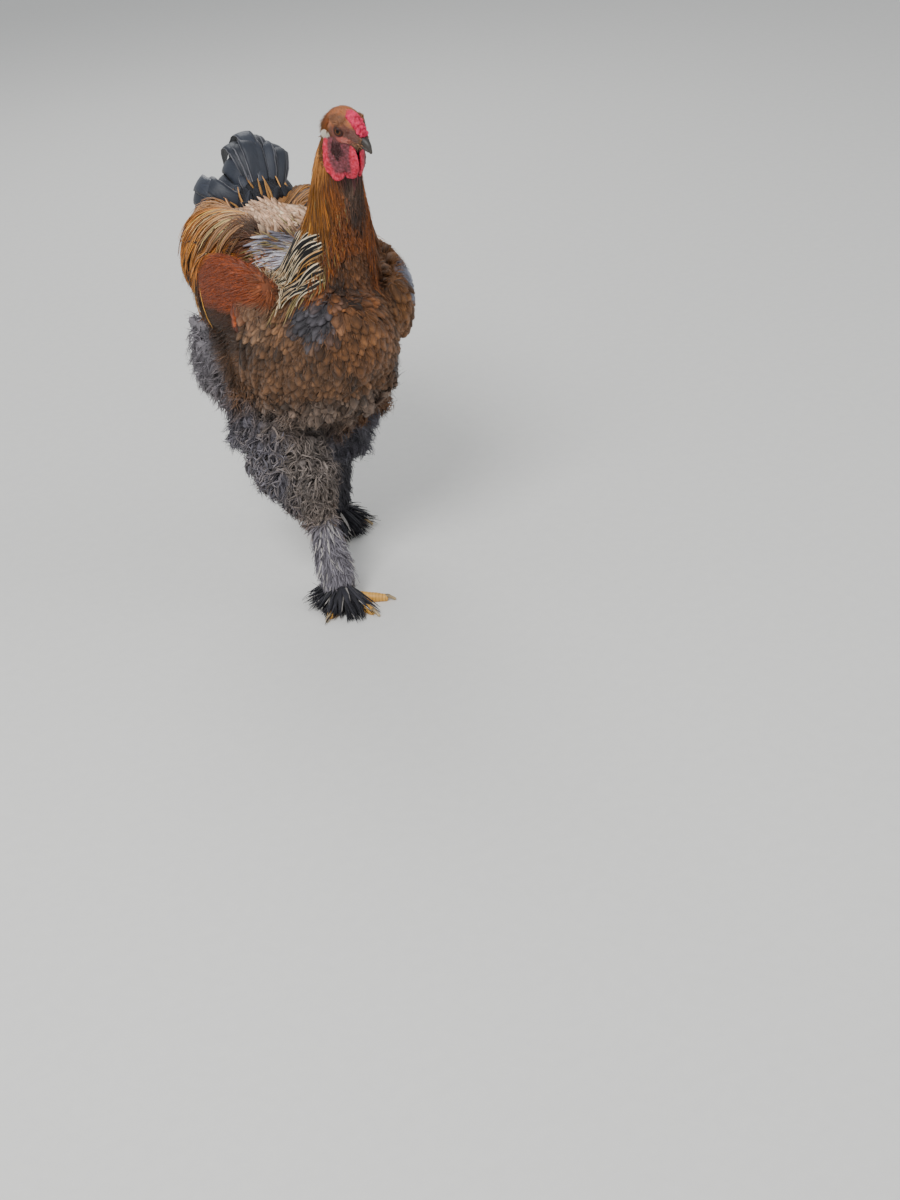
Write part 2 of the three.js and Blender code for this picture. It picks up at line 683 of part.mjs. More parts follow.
for (const [side, out] of Object.entries(SIDES)) {
  const jaw = onHead(out * 8, 11, -16);
  const wattle = blob({
    spine: [jaw, below(jaw, out * 2, 3, 15), below(jaw, out * 1, 5, 30), below(jaw, 0, 4, 40)],
    wide: [3.4, 3.2, 3.4, 2.4],
    high: [9, 12.5, 12, 7],
    up: BACK,
    caps: [3, 5],
    sides: 10,
    rings: 5,
    round: 2,
  });
  const rim = [below(jaw, 0, 15, 24), below(jaw, 0, 12, 36), below(jaw, 0, 1, 43)].map((at) => bulb(at, 4.6));
  place(`wattle_${side}`, COLOURS.comb, [wattle, ...rim], ["head", "neck", "beak_lower", "beak_upper"]);
  const ear = onHead(out * 18, -19, -18);
  const lobe = blob({
    spine: [ear, below(ear, out * 1.5, 4, 15), below(ear, 0, 9, 32), below(ear, -out * 2, 12, 45)],
    wide: [3.6, 3.6, 3.8, 2.6],
    high: [7, 9, 11, 8],
    up: BACK,
    caps: [3, 5],
    sides: 10,
    rings: 5,
    round: 2,
  });
  place(`earlobe_${side}`, COLOURS.comb, [lobe], ["head", "neck", `wattle_${side}`]);
  place(`ear_tuft_${side}`, COLOURS.earTuft, [ball(onHead(out * 21, -25, -14), 5.5, 6, 6, 6)], [
    "head",
    "neck",
    `earlobe_${side}`,
  ]);
}

// The part's origin is under the middle of its bounds.
const bounds = new THREE.Box3().setFromObject(bird);
const middle = bounds.getCenter(v());
for (const mesh of bird.children) mesh.geometry.translate(-middle.x, -middle.y, -bounds.min.z);

export default bird;
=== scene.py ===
"""A Brahma cock at life size, striding on a pale studio floor: skin, head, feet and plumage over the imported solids.

The bird faces -Y with its left side at +X and stands on z = 0. Sizes here are in millimetres in the bird's own
frame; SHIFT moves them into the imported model's frame, where everything is in metres.
"""
import json
import math

import bpy
import numpy as np
from mathutils import Matrix, Vector
from mathutils.bvhtree import BVHTree

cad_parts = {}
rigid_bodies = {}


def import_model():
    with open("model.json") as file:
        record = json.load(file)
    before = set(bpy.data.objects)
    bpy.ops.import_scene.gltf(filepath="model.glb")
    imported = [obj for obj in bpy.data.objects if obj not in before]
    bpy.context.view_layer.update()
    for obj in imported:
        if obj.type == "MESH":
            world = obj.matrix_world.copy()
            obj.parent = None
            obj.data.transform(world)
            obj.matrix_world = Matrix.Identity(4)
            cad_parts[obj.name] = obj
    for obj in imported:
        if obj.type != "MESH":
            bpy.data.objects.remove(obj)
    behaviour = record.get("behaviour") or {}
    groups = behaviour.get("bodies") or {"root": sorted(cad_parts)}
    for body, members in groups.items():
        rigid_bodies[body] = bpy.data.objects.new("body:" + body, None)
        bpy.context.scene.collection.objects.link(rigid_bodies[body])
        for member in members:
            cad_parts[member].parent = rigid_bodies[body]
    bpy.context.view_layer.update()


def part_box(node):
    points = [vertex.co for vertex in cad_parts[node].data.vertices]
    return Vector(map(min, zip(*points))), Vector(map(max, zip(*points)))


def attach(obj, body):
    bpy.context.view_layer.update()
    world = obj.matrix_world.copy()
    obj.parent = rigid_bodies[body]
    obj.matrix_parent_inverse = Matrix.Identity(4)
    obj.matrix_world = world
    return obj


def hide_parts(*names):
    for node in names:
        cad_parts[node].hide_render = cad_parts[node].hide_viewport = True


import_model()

draw = np.random.default_rng(11)

# Driving sizes, the same as the solids have
SIDES = {"left": 1, "right": -1}
HEAD = {"at": (24, -160, 686), "turn": 12, "pitch": 13}
EYE = {"out": 15.5, "size": 6}
UP = np.array([0.0, 0.0, 1.0])
BACK = np.array([0.0, 1.0, 0.0])

# The flesh under the coat: the middle of each section, its half sizes, and how deep the coat over it is.
TORSO = {
    "spine": [(0, -140, 398), (0, -112, 388), (0, -70, 370), (0, -10, 358), (4, 50, 362), (10, 110, 376),
              (14, 160, 404), (16, 198, 438)],
    "wide": [56, 80, 108, 124, 128, 118, 94, 58],
    "high": [54, 78, 112, 138, 146, 144, 116, 74],
    "caps": (16, 26),
    "facing": BACK,
    "coat": 9,
}
FLUFF = {
    "spine": [(88, 66, 306), (92, 112, 312), (84, 156, 338)],
    "wide": [44, 52, 40],
    "high": [52, 62, 48],
    "facing": BACK,
    "coat": 15,
}
NECK = {
    "spine": [(14, -44, 436), (24, -60, 490), (27, -82, 538), (22, -103, 585), (20, -119, 630), (22, -130, 664)],
    "wide": [68, 57, 45, 36, 29, 22],
    "high": [64, 56, 47, 41, 37, 32],
    "caps": (30, 8),
    "up": BACK,
    "coat": 4,
}
THIGHS = {
    "right": {
        "spine": [(-78, 30, 285), (-66, -12, 225), (-56, -44, 172), (-48, -70, 128)],
        "wide": [60, 58, 50, 32],
        "high": [66, 60, 50, 32],
        "up": BACK,
        "coat": 14,
    },
    "left": {
        "spine": [(78, 52, 280), (75, 60, 226), (69, 66, 182), (60, 76, 150)],
        "wide": [60, 52, 42, 26],
        "high": [60, 54, 42, 28],
        "up": BACK,
        "coat": 13,
    },
}
SHANKS = {
    "right": {
        "spine": [(-47, -72, 126), (-44, -89, 80), (-44, -103, 46), (-42, -112, 24)],
        "wide": [24, 27, 30, 26],
        "high": [19, 19, 20, 20],
        "caps": (8, 6),
        "up": BACK,
        "coat": 7,
    },
    "left": {
        "spine": [(58, 79, 144), (54, 96, 88), (51, 106, 48), (50, 112, 24)],
        "wide": [20, 22, 24, 19],
        "high": [18, 17, 17, 17],
        "caps": (8, 6),
        "up": BACK,
        "coat": 6,
    },
}
WINGS = {
    "right": {
        "spine": [(-80, -66, 458), (-96, -15, 450), (-108, 50, 440), (-104, 112, 432)],
        "wide": [18, 23, 24, 12],
        "high": [32, 52, 56, 34],
        "caps": (14, 20),
        "facing": BACK,
        "coat": 3,
    },
    "left": {
        "spine": [(100, -80, 414), (120, -34, 404), (122, 46, 410), (110, 112, 418)],
        "wide": [21, 26, 24, 12],
        "high": [38, 62, 62, 38],
        "caps": (14, 20),
        "facing": BACK,
        "coat": 4,
    },
}
SADDLES = {
    "right": {
        "spine": [(-32, 58, 492), (-56, 104, 470), (-66, 150, 460), (-46, 190, 480)],
        "wide": [32, 54, 52, 34],
        "high": [26, 60, 68, 44],
        "caps": (16, 18),
        "facing": BACK,
        "coat": 3,
    },
    "left": {
        "spine": [(40, 58, 490), (66, 104, 468), (76, 150, 458), (56, 190, 478)],
        "wide": [32, 56, 54, 34],
        "high": [26, 58, 66, 44],
        "caps": (16, 18),
        "facing": BACK,
        "coat": 3,
    },
}
TAIL = {
    "spine": [(18, 168, 474), (24, 192, 508), (27, 214, 522)],
    "wide": [44, 42, 26],
    "high": [40, 36, 24],
    "caps": (16, 12),
    "coat": 4,
}
TAIL_ROOT = np.array([24.0, 180.0, 478.0])
FEET = {
    "right": {
        "ankle": (-40, -112, 12),
        "toes": {"middle": (-17, -181), "inner": (23, -151), "outer": (-86, -153), "hind": (-34, -74)},
    },
    "left": {
        "ankle": (50, 112, 12),
        "toes": {"middle": (28, 42), "inner": (-4, 86), "outer": (96, 80), "hind": (56, 148)},
    },
}
TOE = {"root": 9, "tip": 5.5, "claw": 13}


# Vectors, curves and frames

def unit(vectors):
    lengths = np.linalg.norm(vectors, axis=-1, keepdims=True)
    return vectors / np.maximum(lengths, 1e-9)


def flat_on(vectors, normals):
    """The part of each vector that lies in the surface with that normal, at length one."""
    return unit(vectors - (vectors * normals).sum(-1, keepdims=True) * normals)


def spline(points, shares):
    """Places on the smooth line through points, at shares of it from 0 to 1."""
    p = np.asarray(points, float)
    p = np.concatenate([2 * p[:1] - p[1:2], p, 2 * p[-1:] - p[-2:-1]])
    x = np.clip(np.asarray(shares, float), 0, 1) * (len(points) - 1)
    i = np.minimum(x.astype(int), len(points) - 2)
    f = (x - i).reshape(-1, *[1] * (p.ndim - 1))
    a, b, c, d = p[i], p[i + 1], p[i + 2], p[i + 3]
    return 0.5 * (2 * b + (c - a) * f + (2 * a - 5 * b + 4 * c - d) * f ** 2 + (3 * b - a - 3 * c + d) * f ** 3)


def turned(vector, axis, degrees):
    return np.array(Matrix.Rotation(math.radians(degrees), 3, axis)) @ vector


FORWARD = turned(turned(-BACK, "X", HEAD["pitch"]), "Z", HEAD["turn"])
LEFTWARD = unit(np.cross(UP, FORWARD))
CROWNWARD = np.cross(FORWARD, LEFTWARD)


def on_head(a, b, c):
    """A place on the head: a to its left, b towards the beak and c towards the crown from between the eyes."""
    return np.array(HEAD["at"]) + a * LEFTWARD + b * FORWARD + c * CROWNWARD


def below(place, out, forward, drop):
    return np.asarray(place) + (out, -forward, -drop)


eye_low, eye_high = (np.array(corner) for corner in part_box("eye_right"))
SHIFT = (eye_low + eye_high) / 2 - on_head(-EYE["out"], 0, 0) / 1000


def metres(points):
    return np.asarray(points, float) / 1000 + SHIFT


def millimetres(points):
    return (np.asarray(points, float) - SHIFT) * 1000


# Meshes

def fresh(name, points, faces, smooth=True):
    """A new object from points in the bird's frame."""
    mesh = bpy.data.meshes.new(name)
    mesh.from_pydata(metres(points).tolist(), [], [list(map(int, face)) for face in faces])
    mesh.polygons.foreach_set("use_smooth", [smooth] * len(mesh.polygons))
    mesh.update()
    piece = bpy.data.objects.new(name, mesh)
    bpy.context.scene.collection.objects.link(piece)
    return piece


def pick(*objects):
    bpy.ops.object.select_all(action="DESELECT")
    for o in objects:
        o.select_set(True)
    bpy.context.view_layer.objects.active = objects[0]


def joined(name, objects):
    pick(*objects)
    if len(objects) > 1:
        bpy.ops.object.join()
    objects[0].name = name
    objects[0].data.name = name
    return objects[0]


def applied(piece, kind, **settings):
    """Adds one modifier with its settings and applies it."""
    pick(piece)
    modifier = piece.modifiers.new(kind.title(), kind)
    for key, value in settings.items():
        setattr(modifier, key, value)
    bpy.ops.object.modifier_apply(modifier=modifier.name)
    return piece


def outward(piece):
    pick(piece)
    bpy.ops.object.mode_set(mode="EDIT")
    bpy.ops.mesh.select_all(action="SELECT")
    bpy.ops.mesh.normals_make_consistent(inside=False)
    bpy.ops.object.mode_set(mode="OBJECT")
    return piece


def melted(piece, cell, smoothing):
    """Runs all the shells of a piece together into one closed skin of even cells, in millimetres."""
    applied(piece, "REMESH", mode="VOXEL", voxel_size=cell / 1000, use_smooth_shade=True)
    if smoothing:
        applied(piece, "SMOOTH", factor=0.5, iterations=smoothing)
    return piece


def points_of(piece):
    co = np.empty(len(piece.data.vertices) * 3)
    piece.data.vertices.foreach_get("co", co)
    return millimetres(co.reshape(-1, 3))


def set_points(piece, points):
    piece.data.vertices.foreach_set("co", metres(points).ravel())
    piece.data.update()


def normals_of(piece):
    normals = np.empty(len(piece.data.vertices) * 3)
    piece.data.vertices.foreach_get("normal", normals)
    return normals.reshape(-1, 3)


def loft(name, spine, wide, high, caps=None, facing=None, up=UP, coat=0, sides=28, rings=26, round_rings=6,
         swell=None):
    """A closed rounded body along a smooth line; `swell` may change each point's size by side angle and share."""
    wide = np.maximum(np.array(wide, float) - coat, 2)
    high = np.maximum(np.array(high, float) - coat, 2)
    caps = np.maximum(np.array(caps if caps is not None else (high[0] * 0.6, high[-1] * 0.6)) - coat, 1.5)
    shares = np.r_[np.zeros(round_rings), np.linspace(0, 1, rings), np.ones(round_rings)]
    lean = np.linspace(0, 1, round_rings + 1)[1:]
    out = np.r_[-lean[::-1], np.zeros(rings), lean]
    tips = (0, len(shares) - 1)
    middle = spline(spine, shares)
    size = spline(np.stack([wide, high], 1), shares)
    along = unit(spline(spine, np.clip(shares + 0.01, 0, 1)) - spline(spine, np.clip(shares - 0.01, 0, 1)))
    if facing is not None:
        along = np.tile(facing, (len(shares), 1))
    across = unit(np.cross(along, up))
    rise = np.cross(across, along)
    reach = np.where(out < 0, caps[0], caps[1])
    middle = middle + along * (np.sin(out * np.pi / 2) * reach)[:, None]
    shrink = np.cos(np.abs(out) * np.pi / 2)
    angle = np.arange(sides) / sides * 2 * np.pi
    scale = np.ones((len(shares), sides)) if swell is None else swell(angle[None, :], shares[:, None])
    reach_across = (np.cos(angle)[None] * size[:, :1] * shrink[:, None] * scale)[..., None]
    reach_up = (np.sin(angle)[None] * size[:, 1:] * shrink[:, None] * scale)[..., None]
    grid = middle[:, None] + reach_across * across[:, None] + reach_up * rise[:, None]
    points = np.concatenate([grid[1:-1].reshape(-1, 3), middle[list(tips)]])
    faces = []
    rows = len(shares) - 2
    for row in range(rows - 1):
        for side in range(sides):
            a, b = row * sides + side, row * sides + (side + 1) % sides
            faces.append((a, b, b + sides, a + sides))
    first, last = rows * sides, rows * sides + 1
    for side in range(sides):
        after = (side + 1) % sides
        faces.append((first, after, side))
        faces.append((last, (rows - 1) * sides + side, (rows - 1) * sides + after))
    return outward(fresh(name, points, faces))


def ball(name, at, size, rings=16):
    """A ball shaped to three half sizes along the head's own left, forward and crown."""
    bpy.ops.object.select_all(action="DESELECT")
    bpy.ops.mesh.primitive_uv_sphere_add(segments=rings * 2, ring_count=rings, radius=1, location=(0, 0, 0))
    piece = bpy.context.active_object
    piece.name = name
    co = np.empty(len(piece.data.vertices) * 3)
    piece.data.vertices.foreach_get("co", co)
    x, y, z = (co.reshape(-1, 3) * np.asarray(size)).T
    set_points(piece, np.asarray(at) + x[:, None] * LEFTWARD + y[:, None] * FORWARD + z[:, None] * CROWNWARD)
    bpy.ops.object.shade_smooth()
    return piece


def noise(points, scale, seed=0):
    """A smooth wobble from about -1 to 1 that repeats nowhere near, with humps of about `scale` millimetres."""
    turn = np.random.default_rng(seed)
    total = np.zeros(len(points))
    for octave in range(5):
        way = unit(turn.normal(size=(3, 3)))
        phase = turn.uniform(0, 2 * np.pi, 3)
        total += np.sin(points @ way.T * 2 * np.pi / (scale * (0.7 + 0.17 * octave)) + phase).prod(1)
    return total / 1.6


# Colours

def linear(code):
    """An sRGB hex colour as linear light."""
    s = np.array([int(code[i:i + 2], 16) for i in (1, 3, 5)]) / 255
    return np.where(s <= 0.04045, s / 12.92, ((s + 0.055) / 1.055) ** 2.4)


def smooth(x):
    x = np.clip(x, 0, 1)
    return x * x * (3 - 2 * x)


def blend(a, b, share):
    return a + (b - a) * np.asarray(share)[..., None]


# The cock's markings: over one ground colour lie patches, each with its colour, middle, half sizes and strength.
GROUND = "#735238"
MARKINGS = [
    ("slate fluff behind", "#928c91", (0, 150, 320), (190, 150, 150), 1),
    ("slate near thigh", "#76727a", (-75, 0, 210), (95, 110, 105), 1),
    ("slate far thigh", "#5c5a62", (75, 60, 200), (90, 100, 100), 1),
    ("brown wash on the leg", "#867a72", (-44, -82, 206), (46, 50, 96), 0.85),
    ("grey belly", "#7d6c60", (-20, -66, 292), (110, 90, 46), 0.8),
    ("shank", "#8b868e", (-44, -95, 70), (50, 60, 62), 1),
    ("far shank", "#4a484e", (52, 98, 80), (50, 60, 80), 1),
    ("rust breast", "#85552e", (30, -150, 430), (70, 50, 70), 0.5),
    ("grey far flank", "#77716f", (98, -66, 322), (26, 40, 40), 0.8),
    ("far wing", "#82552c", (118, -10, 410), (40, 130, 80), 0.8),
    ("far wing rim", "#8f99ab", (132, -66, 440), (20, 36, 30), 0.8),
    ("near wing bow", "#9a4820", (-94, 14, 466), (58, 96, 62), 1),
    # A painted highlight: the top of the near wing bow is paler.
    ("painted highlight on the wing bow's top", "#bd7c5a", (-64, 20, 500), (32, 60, 16), 0.7),
    ("wing bow's dark foot", "#46301f", (-114, 14, 406), (44, 100, 36), 0.92),
    ("pale brown breast edge", "#8c6b50", (-92, -58, 432), (28, 32, 30), 0.9),
    ("back", "#d8ab88", (10, 90, 520), (60, 80, 40), 0.9),
    ("saddle", "#d47b26", (-92, 130, 480), (64, 100, 90), 1),
    ("saddle's dark fall", "#4d331f", (-124, 130, 448), (40, 84, 44), 0.9),
    ("far saddle", "#b87c3c", (90, 130, 480), (64, 100, 90), 1),
    ("dark saddle patch", "#3c2a20", (-52, 52, 512), (28, 30, 20), 0.8),
    ("tail", "#23262d", (26, 235, 545), (110, 70, 80), 1),
    ("rust neck", "#8c4e20", (24, -110, 560), (70, 60, 120), 1),
    ("brown breast top", "#6e4b30", (24, -126, 482), (64, 40, 34), 0.85),
    ("slate breast patch", "#4a494f", (-34, -120, 450), (28, 34, 38), 0.95),
    ("dark mid breast", "#38302c", (10, -118, 474), (24, 30, 15), 0.75),
    ("gold nape", "#946022", (6, -84, 610), (42, 50, 70), 0.8),
    # Dark grey-brown throat feathers, darkened further by painted shadow under the beak between the wattles.
    ("dusky throat with painted shadow between the wattles", "#56483f", (32, -148, 622), (24, 26, 36), 0.85),
    ("dark front of the neck", "#3f352f", (32, -140, 578), (13, 26, 34), 0.75),
    ("crown", "#cf7b45", (22, -152, 706), (36, 44, 26), 1),
    ("nape of the head", "#b87a3c", (14, -120, 672), (34, 28, 40), 0.9),
    *[
        mark
        for side in (-1, 1)
        for mark in (
            ("face", "#7c4a3a", tuple(on_head(side * 14, 4, -4)), (15, 22, 14), 1),
            ("dusky cheek", "#5f3436", tuple(on_head(side * 13, 0, -28)), (14, 18, 20), 0.95),
            ("brow", "#96603a", tuple(on_head(side * 15, -2, 12)), (10, 18, 6), 0.9),
            ("bare folds under the eye", "#b0584f", tuple(on_head(side * 18, 7, -10)), (8, 12, 4.5), 0.85),
            ("velvet lores", "#7e5044", tuple(on_head(side * 9, 19, -2)), (10, 13, 10), 0.9),
            ("dark lids", "#331712", tuple(on_head(side * 20, 1, 0)), (8, 10, 8.5), 0.95),
        )
    ],
]


def markings(points):
    """The coat's colour at places on the bird, the same for its skin and for every feather's root."""
    on_face = smooth((points[:, 2:] - 640) / 30)
    near = points + np.stack([noise(points, 34, seed) for seed in (1, 2, 3)], 1) * (6 - 5.2 * on_face)
    colour = np.tile(linear(GROUND), (len(points), 1))
    for _, code, middle, half, strength in MARKINGS:
        away = np.linalg.norm((near - middle) / half, axis=1)
        colour = blend(colour, linear(code), smooth((1.15 - away) / 0.4) * strength)
    return colour


# Materials

def add(tree, kind, inputs=None, **settings):
    """Adds one node with its settings; each input is a value or another node's output."""
    made = tree.nodes.new("ShaderNode" + kind)
    for key, value in settings.items():
        setattr(made, key, value)
    for key, value in (inputs or {}).items():
        if isinstance(value, bpy.types.NodeSocket):
            tree.links.new(value, made.inputs[key])
        else:
            made.inputs[key].default_value = value
    return made


def rgba(code):
    return (*linear(code), 1)


def finish_of(name):
    """An empty material with its output in place."""
    made = bpy.data.materials.new(name)
    made.use_nodes = True
    tree = made.node_tree
    tree.nodes.clear()
    return made, tree, tree.nodes.new("ShaderNodeOutputMaterial")


def bend_of(tree, height, depth, strength=0.6):
    """A bump from a height, its depth in millimetres."""
    made = add(tree, "Bump", {"Height": height, "Strength": strength, "Distance": depth / 1000})
    return made.outputs["Normal"]


def plumage(name, rough=0.62, heart=(0.35, 0.75), tip=(2, 3), barbs=(26, 5), streak=0.35, sheen=0.05, gloss=0.25,
            depth=0.5):
    """Feather keratin: each vane has a heart colour along its shaft and an edge colour outside it. Its barbs run
    off the shaft as fine slanting lines, drawn about four times too coarse so that they show."""
    made, tree, out = finish_of(name)
    lie = add(tree, "Attribute", attribute_name="vane").outputs["Vector"]
    edge = add(tree, "Attribute", attribute_name="edge").outputs["Color"]
    core = add(tree, "Attribute", attribute_name="heart").outputs["Color"]
    part = add(tree, "SeparateXYZ", {"Vector": lie}).outputs
    side = add(tree, "Math", {0: part["X"]}, operation="ABSOLUTE").outputs[0]
    # Barbs leave the shaft forwards, so along plus a share of the side gives their lines.
    slant = add(tree, "Math", {0: side, 1: 0.35, 2: part["Y"]}, operation="MULTIPLY_ADD").outputs[0]
    place = add(tree, "CombineXYZ", {"X": part["X"], "Y": slant, "Z": part["Z"]}).outputs[0]
    spread = add(tree, "VectorMath", {0: place, 1: (3, barbs[0], 40)}, operation="MULTIPLY").outputs[0]
    lines = add(tree, "TexNoise", {"Vector": spread, "Scale": 1.0, "Detail": 3.0}).outputs["Fac"]
    broad = add(tree, "VectorMath", {0: place, 1: (barbs[1], 2.2, 40)}, operation="MULTIPLY").outputs[0]
    strands = add(tree, "TexNoise", {"Vector": broad, "Scale": 1.0, "Detail": 2.0}).outputs["Fac"]
    # The heart's border is frayed by the strands.
    frayed = add(tree, "Math", {0: strands, 1: 0.5, 2: side}, operation="MULTIPLY_ADD").outputs[0]
    inside = add(tree, "MapRange", {"Value": frayed, 1: heart[0] + 0.25, 2: heart[1] + 0.25, 3: 1.0, 4: 0.0},
                 interpolation_type="SMOOTHSTEP").outputs[0]
    ahead = add(tree, "MapRange", {"Value": part["Y"], 1: tip[0], 2: tip[1], 3: 1.0, 4: 0.0},
                interpolation_type="SMOOTHSTEP").outputs[0]
    where = add(tree, "Math", {0: inside, 1: ahead}, operation="MULTIPLY").outputs[0]
    vane = add(tree, "Mix", {0: where, 6: edge, 7: core}, data_type="RGBA").outputs[2]
    dark = add(tree, "MapRange", {"Value": lines, 1: 0.3, 2: 0.7, 3: 1 - streak, 4: 1 + streak}).outputs[0]
    colour = add(tree, "VectorMath", {0: vane, "Scale": dark}, operation="SCALE").outputs[0]
    surface = add(tree, "BsdfPrincipled", {
        "Base Color": colour, "Roughness": rough, "IOR": 1.54, "Specular IOR Level": gloss, "Sheen Weight": sheen,
        "Sheen Roughness": 0.4, "Normal": bend_of(tree, lines, depth),
    })
    tree.links.new(surface.outputs[0], out.inputs["Surface"])
    return made


def bare_skin(name, colours, grain=1.4, depth=0.5, rough=0.42, weight=0.25, radius=(1, 0.25, 0.15)):
    """Living bare skin, thick with blood: soft light inside, a waxy shine and fine raised grains, each painted lighter
    on top with painted shade in the hollows between them.
    """
    made, tree, out = finish_of(name)
    place = add(tree, "TexCoord").outputs["Object"]
    grains = add(tree, "TexVoronoi", {"Vector": place, "Scale": 1000 / grain}, feature="SMOOTH_F1").outputs["Distance"]
    patches = add(tree, "TexNoise", {"Vector": place, "Scale": 1000 / 9, "Detail": 4.0}).outputs["Fac"]
    if colours:
        share = add(tree, "MapRange", {"Value": patches, 1: 0.32, 2: 0.68}).outputs[0]
        blood = add(tree, "Mix", {0: share, 6: rgba(colours[0]), 7: rgba(colours[1])}, data_type="RGBA").outputs[2]
    else:
        blood = add(tree, "Attribute", attribute_name="marking").outputs["Color"]
    # Painted light and shade: the colour is lighter on each raised grain and darker in the hollows between the grains.
    shade = add(tree, "MapRange", {"Value": grains, 1: 0.0, 2: 0.7, 3: 1.12, 4: 0.72}).outputs[0]
    colour = add(tree, "VectorMath", {0: blood, "Scale": shade}, operation="SCALE").outputs[0]
    hollow = add(tree, "Math", {0: 1.0, 1: grains}, operation="SUBTRACT").outputs[0]
    surface = add(tree, "BsdfPrincipled", {
        "Base Color": colour, "Roughness": rough, "IOR": 1.42, "Subsurface Weight": weight,
        "Subsurface Radius": radius, "Subsurface Scale": 0.003, "Normal": bend_of(tree, hollow, depth),
    })
    tree.links.new(surface.outputs[0], out.inputs["Surface"])
    return made


def horn(name, dark, pale, rough=0.35):
    """Horn grown in layers: darker at its base and paler towards its tip, with fine long growth lines."""
    made, tree, out = finish_of(name)
    along = add(tree, "Attribute", attribute_name="along").outputs["Fac"]
    place = add(tree, "TexCoord").outputs["Object"]
    cloud = add(tree, "TexNoise", {"Vector": place, "Scale": 220.0, "Detail": 4.0}).outputs["Fac"]
    mixed = add(tree, "Math", {0: cloud, 1: 0.5, 2: along}, operation="MULTIPLY_ADD").outputs[0]
    share = add(tree, "MapRange", {"Value": mixed, 1: 0.35, 2: 1.15}).outputs[0]
    colour = add(tree, "Mix", {0: share, 6: rgba(dark), 7: rgba(pale)}, data_type="RGBA").outputs[2]
    lines = add(tree, "TexWave", {"Vector": place, "Scale": 260.0, "Distortion": 3.0}).outputs["Fac"]
    surface = add(tree, "BsdfPrincipled", {
        "Base Color": colour, "Roughness": rough, "IOR": 1.55, "Normal": bend_of(tree, lines, 0.12, 0.4),
    })
    tree.links.new(surface.outputs[0], out.inputs["Surface"])
    return made


def scaled_skin(name):
    """Toe skin in horny scutes: yellow, darker brown in the grooves between them."""
    made, tree, out = finish_of(name)
    groove = add(tree, "Attribute", attribute_name="groove").outputs["Fac"]
    place = add(tree, "TexCoord").outputs["Object"]
    cloud = add(tree, "TexNoise", {"Vector": place, "Scale": 160.0, "Detail": 5.0}).outputs["Fac"]
    ground = add(tree, "Mix", {0: cloud, 6: rgba("#c98a2b"), 7: rgba("#e3b25a")}, data_type="RGBA").outputs[2]
    groove_darkening = add(tree, "MapRange", {"Value": groove, 1: 0.35, 2: 1.0}).outputs[0]
    colour = add(tree, "Mix", {0: groove_darkening, 6: ground, 7: rgba("#6b4720")}, data_type="RGBA").outputs[2]
    surface = add(tree, "BsdfPrincipled", {
        "Base Color": colour, "Roughness": 0.5, "IOR": 1.5, "Normal": bend_of(tree, cloud, 0.25),
    })
    tree.links.new(surface.outputs[0], out.inputs["Surface"])
    return made


def eyeball():
    """A wet eye: a black pupil, a brown iris with fine spokes that pales to amber outside, under a clear cornea."""
    made, tree, out = finish_of("wet_eye")
    out_from = add(tree, "Attribute", attribute_name="iris").outputs["Fac"]
    place = add(tree, "TexCoord").outputs["Object"]
    spokes = add(tree, "TexNoise", {"Vector": place, "Scale": 900.0, "Detail": 2.0}).outputs["Fac"]
    frayed = add(tree, "Math", {0: spokes, 1: 0.12, 2: out_from}, operation="MULTIPLY_ADD").outputs[0]
    ramp = add(tree, "ValToRGB", {"Fac": frayed})
    stops = [(0.0, "#050404"), (0.38, "#070504"), (0.45, "#33190a"), (0.66, "#7a4a20"), (0.86, "#5a3217"), (0.95, "#120a06")]
    elements = ramp.color_ramp.elements
    for position, code in stops[1:-1]:
        elements.new(position).color = rgba(code)
    elements[0].color = rgba(stops[0][1])
    elements[-1].position, elements[-1].color = stops[-1][0], rgba(stops[-1][1])
    surface = add(tree, "BsdfPrincipled", {
        "Base Color": ramp.outputs["Color"], "Roughness": 0.35, "IOR": 1.34, "Specular IOR Level": 0.2, "Coat Weight": 0.25,
        "Coat Roughness": 0.04,
    })
    tree.links.new(surface.outputs[0], out.inputs["Surface"])
    return made


def hide_finish():
    """The skin under the coat: dull, with the coat's own markings, so that a gap between feathers doesn't show."""
    made, tree, out = finish_of("feathered_skin")
    mark = add(tree, "Attribute", attribute_name="marking").outputs["Color"]
    place = add(tree, "TexCoord").outputs["Object"]
    cloud = add(tree, "TexNoise", {"Vector": place, "Scale": 330.0, "Detail": 5.0}).outputs["Fac"]
    shade = add(tree, "MapRange", {"Value": cloud, 1: 0.3, 2: 0.7, 3: 0.55, 4: 0.95}).outputs[0]
    colour = add(tree, "VectorMath", {0: mark, "Scale": shade}, operation="SCALE").outputs[0]
    surface = add(tree, "BsdfPrincipled", {
        "Base Color": colour, "Roughness": 0.9, "Normal": bend_of(tree, cloud, 0.8),
    })
    tree.links.new(surface.outputs[0], out.inputs["Surface"])
    return made


def dress(piece, material, slot, *nodes):
    """Gives a piece its material and lets it stand for its solids; its slot is not used."""
    piece.data.materials.clear()
    piece.data.materials.append(material)
    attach(piece, "root")
    if nodes:
        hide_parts(*nodes)
    return piece


def put(piece, name, kind, values):
    """Stores one value or colour for each point of a piece."""
    attribute = piece.data.attributes.new(name, kind, "POINT")
    field = {"FLOAT": "value", "FLOAT_VECTOR": "vector", "FLOAT_COLOR": "color"}[kind]
    attribute.data.foreach_set(field, np.asarray(values, np.float32).ravel())


def with_alpha(colours):
    return np.concatenate([colours, np.ones((len(colours), 1))], 1)


# The skin

def mirrored(sizes, side):
    return {**sizes, "spine": [(x * side, y, z) for x, y, z in sizes["spine"]]}


